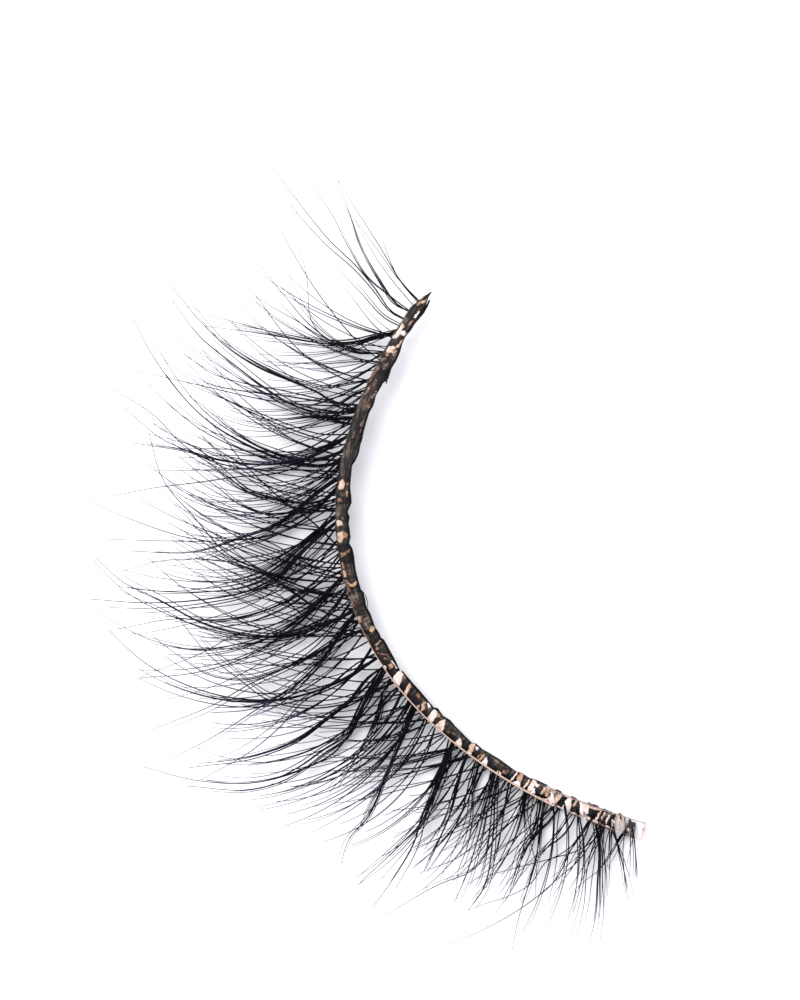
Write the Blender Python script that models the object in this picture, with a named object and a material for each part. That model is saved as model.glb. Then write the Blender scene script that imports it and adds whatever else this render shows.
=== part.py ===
"""False eyelash strip, lying with its lashes curled up off the table.

A clear flexible band is bonded over the glued roots of the lashes. The lashes leave it in
clusters. Each cluster fans into three locks that sweep towards the outer corner of the eye.

Frame: X runs along the band's chord from the inner corner to the outer corner, Y points to the
lash tips, Z is up, and the origin is on the table under the middle of the whole strip.
"""
import math

import bmesh
import bpy
import numpy as np
from mathutils import Vector

NAME = "false_eyelash_strip"

# Driving sizes, in metres
HALF_CHORD = 0.01370
SAG = 0.00860
BAND_RISE = 0.00160
LONGEST_LASH = 0.01250
TIP_LIFT = 0.00500

# The clear band: its flat section, how far it sits towards the lashes, and the film of glue
# that is left open between it and the roots
BAND_WIDTH = 0.00054
BAND_THICKNESS = 0.00016
BAND_SHIFT = 0.00003
BOND_GAP = 0.00003

# The glued roots under the band: the backing that joins them, and how far the root ends
# reach behind the middle of the band
ROOT_THICKNESS = 0.00030
BACKING_WIDTH = 0.00036
ROOT_OVERHANG = 0.00032
FIRST_CLUSTER = 0.012
LAST_CLUSTER = 0.992
CLUSTERS = 40

# A lock's flat section where it leaves the band, and its share of that at the tip
LOCK_WIDTH = 0.00044
LOCK_THICKNESS = 0.00026
LOCK_TIP_SHARE = 0.16
LOCK_SPACING = 0.00017
LOCK_SIDES = 4

# Where along a lock it lies lowest, the height of the lowest lock's middle over the table
# there, the step from one layer of locks to the next, and how sharply the tips turn up
BELLY_AT = 0.34
BELLY_HEIGHT = 0.00016
LAYER_STEP = 0.00016
CURL_POWER = 1.8

# Where the middle of the strip's box lies from the middle of the chord
MIDDLE_ACROSS = 0.00177
MIDDLE_OUT = 0.00998

# Course of the band from the inner corner to the outer corner.
# along: share of its length. across: share of the half chord. out: share of the sag.
# rise: share of the band's rise off the table, level where it reaches 1. width: share of
# the band's width.
BAND_COLUMNS = ("along", "across", "out", "rise", "width")
BAND_ROWS = (
    (0.000, -1.005, 0.010, 0.00, 1.50),
    (0.062, -0.904, 0.195, 0.00, 1.38),
    (0.139, -0.771, 0.412, 0.02, 1.22),
    (0.214, -0.625, 0.601, 0.12, 1.10),
    (0.287, -0.473, 0.758, 0.28, 1.03),
    (0.351, -0.331, 0.870, 0.45, 1.00),
    (0.434, -0.134, 0.970, 0.68, 1.00),
    (0.508, 0.048, 1.004, 0.84, 1.00),
    (0.598, 0.271, 0.973, 0.96, 1.00),
    (0.685, 0.474, 0.860, 1.00, 1.00),
    (0.773, 0.656, 0.667, 1.00, 1.00),
    (0.866, 0.820, 0.411, 0.93, 0.98),
    (0.938, 0.933, 0.188, 0.78, 0.88),
    (0.985, 0.998, 0.040, 0.66, 0.62),
    (1.000, 1.016, -0.010, 0.62, 0.24),
)

# How the lashes stand along the band.
# length: share of the longest lash. aim: where the tips lie from the root, in degrees off
# the band's normal towards the outer corner. sweep: degrees that a lash turns on its way.
# lift: share of the tip lift.
LASH_COLUMNS = ("along", "length", "aim", "sweep", "lift")
LASH_ROWS = (
    (0.012, 0.27, -4, 8, 0.22),
    (0.055, 0.45, -14, 12, 0.36),
    (0.100, 0.58, 2, 22, 0.48),
    (0.200, 0.70, 15, 32, 0.62),
    (0.300, 0.84, 20, 40, 0.80),
    (0.400, 0.97, 23, 46, 0.95),
    (0.500, 1.00, 19, 48, 1.00),
    (0.600, 0.98, 5, 48, 1.00),
    (0.700, 1.00, -9, 46, 1.00),
    (0.800, 1.00, -19, 44, 0.98),
    (0.880, 0.95, -23, 40, 0.90),
    (0.925, 0.88, -22, 32, 0.82),
    (0.955, 0.80, 9, 16, 0.74),
    (0.992, 0.52, 15, 12, 0.60),
)

# The three locks of a cluster, from the lowest to the highest.
# turn: degrees off the cluster's aim. length and width: shares of the lash's and the lock's.
# layer: steps over the lowest lock at the belly. shift: place along the band, in lock
# spacings.
FAN_COLUMNS = ("turn", "length", "width", "layer", "shift")
FAN_ROWS = (
    (-15, 0.86, 0.80, 0.0, -1.0),
    (2, 1.00, 1.00, 1.3, 0.0),
    (17, 0.90, 0.76, 2.7, 1.0),
)

# Lashes of one cluster after another are longer and shorter in this order
LENGTH_STEPS = (1.00, 0.90, 0.97, 0.84, 0.94)

# Stations along a lock. at: share of its length. width: share of its width.
LOCK_ROWS = (
    (0.00, 1.00),
    (0.14, 0.84),
    (0.34, 0.64),
    (0.56, 0.46),
    (0.78, 0.30),
    (1.00, LOCK_TIP_SHARE),
)

# Corners of the band's section, as shares of its width and thickness, counter-clockwise:
# the flat underside, the bead at the lash edge, and the thin top sheet
BAND_SECTION = (
    (-0.50, 0.00),
    (0.50, 0.00),
    (0.56, 0.45),
    (0.51, 1.00),
    (0.40, 1.00),
    (0.35, 0.62),
    (-0.46, 0.56),
    (-0.54, 0.26),
)

# Corners of the backing's section, as shares of its width and thickness
BACKING_SECTION = ((-0.5, 0.0), (0.5, 0.0), (0.5, 1.0), (-0.5, 1.0))

BAND_STATIONS = 48
WELD_DISTANCE = 1e-6

# Colours, roughness and metallic of the two materials
BAND_COLOUR = (0.72, 0.55, 0.47)
BAND_ROUGHNESS = 0.22
LASH_COLOUR = (0.012, 0.012, 0.017)
LASH_ROUGHNESS = 0.42


def eased(columns, rows, column, share):
    """Value of a table's column at a share of the way along, on a smooth curve through it."""
    places = np.array([row[0] for row in rows])
    values = np.array([row[columns.index(column)] for row in rows], dtype=float)
    slopes = np.gradient(values, places)
    index = int(np.clip(np.searchsorted(places, share) - 1, 0, len(rows) - 2))
    span = places[index + 1] - places[index]
    t = min(max((share - places[index]) / span, 0.0), 1.0)
    start, end = values[index], values[index + 1]
    rise_in, rise_out = slopes[index] * span, slopes[index + 1] * span
    return (
        start * (1 + 2 * t) * (1 - t) ** 2
        + rise_in * t * (1 - t) ** 2
        + end * t * t * (3 - 2 * t)
        + rise_out * t * t * (t - 1)
    )


def band_value(column, along):
    return eased(BAND_COLUMNS, BAND_ROWS, column, along)


def lash_value(column, along):
    return eased(LASH_COLUMNS, LASH_ROWS, column, along)


def band_point(along, height=0.0):
    """Point of the band's course, at a height over the underside of the roots."""
    return Vector((
        HALF_CHORD * band_value("across", along) - MIDDLE_ACROSS,
        SAG * band_value("out", along) - MIDDLE_OUT,
        BAND_RISE * min(band_value("rise", along), 1.0) + height,
    ))


def band_normal_angle(along):
    """Direction in plan that points squarely off the band on its lash side."""
    step = 0.01
    ahead = band_point(min(along + step, 1.0)) - band_point(max(along - step, 0.0))
    return math.atan2(ahead.y, ahead.x) + math.pi / 2


def collection(name):
    made = bpy.data.collections.new(name)
    bpy.context.scene.collection.children.link(made)
    return made


def principled(name, colour, roughness):
    material = bpy.data.materials.new(name)
    material.use_nodes = True
    shader = material.node_tree.nodes["Principled BSDF"]
    shader.inputs["Base Color"].default_value = (*colour, 1.0)
    shader.inputs["Roughness"].default_value = roughness
    shader.inputs["Metallic"].default_value = 0.0
    return material


def section_outline(name, corners, width, thickness, tools):
    """Closed flat curve that is swept along a path, its corners given as shares."""
    curve = bpy.data.curves.new(name, "CURVE")
    curve.dimensions = "2D"
    curve.fill_mode = "NONE"
    spline = curve.splines.new("POLY")
    spline.points.add(len(corners) - 1)
    for point, (across, up) in zip(spline.points, corners):
        point.co = (across * width, up * thickness, 0.0, 1.0)
    spline.use_cyclic_u = True
    outline = bpy.data.objects.new(name, curve)
    outline.hide_render = True
    outline.display_type = "WIRE"
    tools.objects.link(outline)
    return outline


def swept_mesh(name, paths, outline, home):
    """Mesh of an outline swept along paths of (point, size share), with welded end caps."""
    curve = bpy.data.curves.new(name + "_path", "CURVE")
    curve.dimensions = "3D"
    curve.twist_mode = "Z_UP"
    curve.bevel_mode = "OBJECT"
    curve.bevel_object = outline
    curve.use_fill_caps = True
    for path in paths:
        spline = curve.splines.new("POLY")
        spline.points.add(len(path) - 1)
        for point, (place, share) in zip(spline.points, path):
            point.co = (*place, 1.0)
            point.radius = share
    swept = bpy.data.objects.new(name + "_path", curve)
    home.objects.link(swept)
    bpy.context.view_layer.update()
    evaluated = swept.evaluated_get(bpy.context.evaluated_depsgraph_get())
    mesh = bpy.data.meshes.new_from_object(evaluated)
    mesh.name = name
    bpy.data.objects.remove(swept)
    weld_caps(mesh)
    solid = bpy.data.objects.new(name, mesh)
    home.objects.link(solid)
    return solid


def weld_caps(mesh):
    work = bmesh.new()
    work.from_mesh(mesh)
    bmesh.ops.remove_doubles(work, verts=work.verts, dist=WELD_DISTANCE)
    bmesh.ops.recalc_face_normals(work, faces=work.faces)
    work.to_mesh(mesh)
    work.free()


def lens_corners():
    """Corners of a lock's flat section, wide across the lock and thin through it."""
    return [
        (0.5 * math.cos(turn), 0.5 * math.sin(turn))
        for turn in (math.tau * side / LOCK_SIDES for side in range(LOCK_SIDES))
    ]


def band_ring(along):
    """Corners of the clear band's section at one station."""
    angle = band_normal_angle(along)
    lash_side = Vector((math.cos(angle), math.sin(angle), 0.0))
    middle = band_point(along, ROOT_THICKNESS + BOND_GAP) + lash_side * BAND_SHIFT
    width = BAND_WIDTH * band_value("width", along)
    return [
        middle + lash_side * (across * width) + Vector((0.0, 0.0, up * BAND_THICKNESS))
        for across, up in BAND_SECTION
    ]


def lofted_mesh(name, rings):
    """Closed mesh through rings that have the same number of corners."""
    work = bmesh.new()
    loops = [[work.verts.new(corner) for corner in ring] for ring in rings]
    count = len(loops[0])
    for near, far in zip(loops, loops[1:]):
        for side in range(count):
            after = (side + 1) % count
            work.faces.new((near[side], near[after], far[after], far[side]))
    work.faces.new(loops[0])
    work.faces.new(loops[-1])
    bmesh.ops.recalc_face_normals(work, faces=work.faces)
    mesh = bpy.data.meshes.new(name)
    work.to_mesh(mesh)
    work.free()
    return mesh


def make_clear_band(home):
    """The clear strip over the roots, from its square inner end to its drawn-out outer end."""
    rings = [band_ring(along) for along in np.linspace(0.0, 1.0, BAND_STATIONS)]
    mesh = lofted_mesh("clear_band", rings)
    mesh.materials.append(principled("clear_band", BAND_COLOUR, BAND_ROUGHNESS))
    band = bpy.data.objects.new("clear_band", mesh)
    home.objects.link(band)
    return band


def lock_path(along, step, lock):
    """Course of one lock: over the backing from behind the band, down to its belly, and up."""
    share = step * lock["length"]
    reach = LONGEST_LASH * lash_value("length", along) * share
    lift = TIP_LIFT * lash_value("lift", along) * share
    sweep = math.radians(lash_value("sweep", along))
    aim = math.radians(lash_value("aim", along) + lock["turn"])
    heading = band_normal_angle(along) - aim + sweep / 2
    root = band_point(along, ROOT_THICKNESS / 2)
    belly = BELLY_HEIGHT + LAYER_STEP * lock["layer"]
    behind = Vector((-math.cos(heading), -math.sin(heading), 0.0)) * ROOT_OVERHANG
    path = [(root + behind, lock["width"])]
    place = root.copy()
    last = 0.0
    for at, width in LOCK_ROWS:
        turn = heading - sweep * (at + last) / 2
        stride = reach * (at - last)
        place = place + Vector((math.cos(turn), math.sin(turn), 0.0)) * stride
        place.z = lock_height(at, root.z, belly, lift)
        path.append((place.copy(), width * lock["width"]))
        last = at
    return path


def lock_height(at, root, belly, lift):
    """Height of a lock's middle at a share of its length: down to the belly, then up."""
    if at < BELLY_AT:
        return belly + (root - belly) * (1 - at / BELLY_AT) ** 2
    return belly + lift * ((at - BELLY_AT) / (1 - BELLY_AT)) ** CURL_POWER


def lock_paths():
    """The three locks of every cluster along the band."""
    spacing = LOCK_SPACING / band_length()
    paths = []
    for cluster in range(CLUSTERS):
        share = (cluster + 0.5) / CLUSTERS
        middle = FIRST_CLUSTER + (LAST_CLUSTER - FIRST_CLUSTER) * share
        step = LENGTH_STEPS[cluster % len(LENGTH_STEPS)]
        for row in FAN_ROWS:
            lock = dict(zip(FAN_COLUMNS, row))
            paths.append(lock_path(middle + lock["shift"] * spacing, step, lock))
    return paths


def band_length():
    points = [band_point(along) for along in np.linspace(0.0, 1.0, BAND_STATIONS)]
    return sum((b - a).length for a, b in zip(points, points[1:]))


def make_lash_fringe(home, tools):
    """The glued backing with every lock joined to it in one body."""
    flat = section_outline(
        "backing_section", BACKING_SECTION, BACKING_WIDTH, ROOT_THICKNESS, tools
    )
    lens = section_outline("lock_section", lens_corners(), LOCK_WIDTH, LOCK_THICKNESS, tools)
    backing = [
        (band_point(along), 1.0)
        for along in np.linspace(FIRST_CLUSTER, LAST_CLUSTER, BAND_STATIONS)
    ]
    fringe = swept_mesh("lash_fringe", [backing], flat, home)
    locks = swept_mesh("locks", lock_paths(), lens, tools)
    locks.hide_render = True
    locks.display_type = "WIRE"
    join = fringe.modifiers.new("join_locks", "BOOLEAN")
    join.operation = "UNION"
    join.solver = "EXACT"
    join.object = locks
    join.use_self = True
    fringe.data.materials.append(principled("lash_fringe", LASH_COLOUR, LASH_ROUGHNESS))
    return fringe


def main():
    for thing in list(bpy.data.objects):
        bpy.data.objects.remove(thing)
    home = collection(NAME)
    tools = collection("sections_and_cutters")
    make_clear_band(home)
    make_lash_fringe(home, tools)


main()
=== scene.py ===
"""Looks of the false eyelash strip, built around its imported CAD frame.

The file is laid out as a Blender add-on and is run as a script. Each operator makes one piece
of the strip, or one group of like pieces, in the frame of the CAD and in metres. X runs along
the band's chord to the outer corner of the eye, Y points to the lash tips, and Z is up.
"""
import math

import bpy
import numpy as np
from bpy.props import FloatProperty, FloatVectorProperty, IntProperty, PointerProperty
from bpy.utils import register_class, unregister_class
from mathutils import Matrix


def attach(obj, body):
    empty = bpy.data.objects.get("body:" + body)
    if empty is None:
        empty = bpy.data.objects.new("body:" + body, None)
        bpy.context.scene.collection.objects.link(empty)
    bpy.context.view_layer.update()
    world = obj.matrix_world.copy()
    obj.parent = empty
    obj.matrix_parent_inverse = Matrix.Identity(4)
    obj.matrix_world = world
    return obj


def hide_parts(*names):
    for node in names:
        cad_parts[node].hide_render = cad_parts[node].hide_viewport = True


bl_info = {
    "name": "False eyelash strip",
    "version": (1, 0, 0),
    "blender": (4, 5, 0),
    "location": "3D View > Sidebar > Eyelash",
    "description": "Builds the clear band, the glued roots and the lashes of a false eyelash strip",
    "category": "Object",
}

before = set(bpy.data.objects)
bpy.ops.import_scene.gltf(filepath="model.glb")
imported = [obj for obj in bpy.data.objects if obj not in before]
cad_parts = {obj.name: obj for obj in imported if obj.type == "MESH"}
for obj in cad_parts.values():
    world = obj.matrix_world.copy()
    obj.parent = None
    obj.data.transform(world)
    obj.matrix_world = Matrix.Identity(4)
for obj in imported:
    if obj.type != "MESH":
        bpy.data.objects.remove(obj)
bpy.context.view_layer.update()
BODY = "root"
MM = 0.001

# Slabs are the glue films and the root blocks. Each has this many corners, and levels with a
# share of its height and a share of its size. Near the tip they keep to this half width.
SLAB_CORNERS = 28
SLAB_LEVELS = ((0.0, 1.0), (0.70, 1.0), (0.94, 0.95), (1.0, 0.80))
LEAST_HALF = 0.09 * MM

# Corners of the section of a bead or a loose end
BEAD_CORNERS = 8

# Sizes of the part in metres and the two tables of its course, as in its source. ROOT_BACK is
# how far a lash's root goes under the band past its middle.
HALF_CHORD = 0.01370
SAG = 0.00860
BAND_RISE = 0.00160
LONGEST_LASH = 0.01250
TIP_LIFT = 0.00500
BAND_SHIFT = 0.00003
ROOT_THICKNESS = 0.00030
ROOT_BACK = 0.00010
BELLY_AT = 0.34
BELLY_HEIGHT = 0.00016
CURL_POWER = 1.8
MIDDLE_ACROSS = 0.00177
MIDDLE_OUT = 0.00998

BAND_COLUMNS = ("along", "across", "out", "rise", "width")
BAND_ROWS = (
    (0.000, -1.005, 0.010, 0.00, 1.50),
    (0.062, -0.904, 0.195, 0.00, 1.38),
    (0.139, -0.771, 0.412, 0.02, 1.22),
    (0.214, -0.625, 0.601, 0.12, 1.10),
    (0.287, -0.473, 0.758, 0.28, 1.03),
    (0.351, -0.331, 0.870, 0.45, 1.00),
    (0.434, -0.134, 0.970, 0.68, 1.00),
    (0.508, 0.048, 1.004, 0.84, 1.00),
    (0.598, 0.271, 0.973, 0.96, 1.00),
    (0.685, 0.474, 0.860, 1.00, 1.00),
    (0.773, 0.656, 0.667, 1.00, 1.00),
    (0.866, 0.820, 0.411, 0.93, 0.98),
    (0.938, 0.933, 0.188, 0.78, 0.88),
    (0.985, 0.998, 0.040, 0.66, 0.62),
    (1.000, 1.016, -0.010, 0.62, 0.24),
)

LASH_COLUMNS = ("along", "length", "aim", "sweep", "lift")
LASH_ROWS = (
    (0.012, 0.27, -4, 8, 0.22),
    (0.055, 0.45, -14, 12, 0.36),
    (0.100, 0.58, 2, 22, 0.48),
    (0.200, 0.70, 15, 32, 0.62),
    (0.300, 0.84, 20, 40, 0.80),
    (0.400, 0.97, 23, 46, 0.95),
    (0.500, 1.00, 19, 48, 1.00),
    (0.600, 0.98, 5, 48, 1.00),
    (0.700, 1.00, -9, 46, 1.00),
    (0.800, 1.00, -19, 44, 0.98),
    (0.880, 0.95, -23, 40, 0.90),
    (0.925, 0.88, -22, 32, 0.82),
    (0.955, 0.80, 9, 16, 0.74),
    (0.992, 0.52, 15, 12, 0.60),
)

# The camera looks straight down. Its aim is the point of the table in the middle of the view,
# and a pixel of the photograph is this wide on the table.
CAMERA_AIM = (0.003453, -0.005018)
CAMERA_RIGHT = (-0.375, -0.927)
CAMERA_UP = (0.927, -0.375)
CAMERA_HEIGHT = 0.19875
CAMERA_LENS = 150.0
SENSOR = 36.0
PICTURE = (800, 1000)
PIXEL = CAMERA_HEIGHT * SENSOR / CAMERA_LENS / PICTURE[1]

# Course of the band's dark rim from the inner to the outer corner, in pixels of the photograph
RIM_COURSE = (
    (556, 789.5), (550, 786), (545, 784), (540, 781.5), (534, 779), (530, 778.5), (522, 773),
    (516, 771.5), (510, 767), (500, 759.5), (490, 753.5), (482, 749), (476, 743.5), (472, 743),
    (466, 737), (460, 731), (455, 726), (450, 720), (443, 716), (438, 708.5), (434, 708),
    (430, 703), (420, 691), (410, 680), (403, 671.5), (400, 671), (397, 664), (394, 658),
    (390, 651), (387, 645), (384, 640), (381, 638), (379, 633), (375, 627), (372.5, 620),
    (370, 613), (366, 606), (365, 599), (363, 592), (361, 590), (358, 580), (355.5, 570),
    (354.5, 562), (354, 556), (352.5, 549), (350.5, 546), (349, 543), (350.5, 537), (349.5, 530),
    (348.5, 523), (349.5, 517), (347.5, 512), (349, 508), (351.5, 503), (351, 495), (350, 487),
    (350.5, 481), (351, 475), (352, 465), (355, 461), (358, 455), (359.5, 450), (360, 446),
    (362, 440), (364, 430), (366, 423), (369, 413), (373, 406), (374, 403), (376, 395),
    (379, 390), (383, 383), (388, 379), (389, 376), (391.5, 368), (396, 361), (400, 352),
    (402, 344), (405, 337), (411, 330), (414.5, 324), (418, 320), (424, 313), (428, 306),
    (431, 299),
)

# Loose ends at the band's rim. Each row has how brown the end is, which also sets the strength of its
# painted glints, its radius in millimetres and its course in pixels of the photograph, which starts on
# the roots.
LOOSE_ROWS = (
    (0.0, 0.018, (360, 589), (363, 592), (366, 597), (367.5, 603), (367, 608), (363, 611)),
    (0.0, 0.050, (377, 376), (381, 378), (384.5, 379.5), (386.5, 381), (386, 383.5)),
    (0.8, 0.030, (383, 377.5), (385.5, 379), (386, 380.5)),
    (0.0, 0.014, (381, 641), (384, 645), (385, 650), (383, 654)),
    (0.5, 0.012, (422, 301), (424, 295), (427, 290), (430, 287), (433, 285)),
    (0.8, 0.024, (431, 286.5), (433, 285), (434.5, 284.5)),
)

# Dark blocks of glued roots near the inner corner, where the band is clear between them.
# Each row has how brown the block is, which also sets the strength of its painted glints, and its
# corners in pixels of the photograph.
ROOT_ROWS = (
    (0.05, (629, 820.5), (635, 823), (631.5, 829.5), (628, 828)),
    (0.10, (631, 830), (628, 829.5), (623, 836), (622, 840), (626, 838)),
    (0.30, (619, 813), (621, 814), (620.5, 818), (619.5, 818)),
    (0.30, (623, 816), (625, 817.5), (624.5, 820), (623, 820)),
    (0.35, (622, 832), (624.5, 833), (624, 835.5), (622, 835)),
    (0.25, (631, 834), (633.5, 835), (632.5, 837.5), (631, 836.5)),
    (0.10, (588.5, 803), (597, 805.5), (597, 807.2), (589, 806)),
    (0.05, (588.5, 808), (599, 810), (600, 811.5), (595, 819), (589, 817.5)),
    (0.15, (601, 812), (603.8, 812.5), (600, 821), (597, 819.5)),
    (0.40, (605, 813), (608, 815), (604, 822.5), (601.5, 821)),
    (0.05, (611, 816), (615, 815), (608.5, 825), (605.5, 823.5)),
    (0.60, (601, 808), (612, 812), (611, 815), (600, 811)),
    (0.00, (588, 819.5), (600, 825), (611, 829), (610.5, 831), (602, 828.5), (597, 834), (592, 831)),
    (0.15, (572, 796.5), (577, 799), (575, 803), (571.5, 800)),
    (0.25, (577.5, 802.5), (582, 805), (576.5, 813), (571, 810.5)),
    (0.50, (571, 801), (574, 803), (571, 808), (569.5, 806)),
    (0.05, (578, 816.5), (580, 817.5), (579.5, 819.5), (578, 819)),
    (0.00, (570, 813), (575, 814.5), (576, 817), (571, 817), (567, 815)),
    (0.05, (562, 796), (567, 799), (560, 807), (556, 804.5)),
    (0.00, (554, 806), (560, 808.5), (559, 811), (553, 813), (550, 812)),
    (0.30, (556, 789), (561, 792), (559, 796), (556, 794)),
    (0.05, (547, 803), (549, 804), (546, 811), (543, 812)),
)
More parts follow.
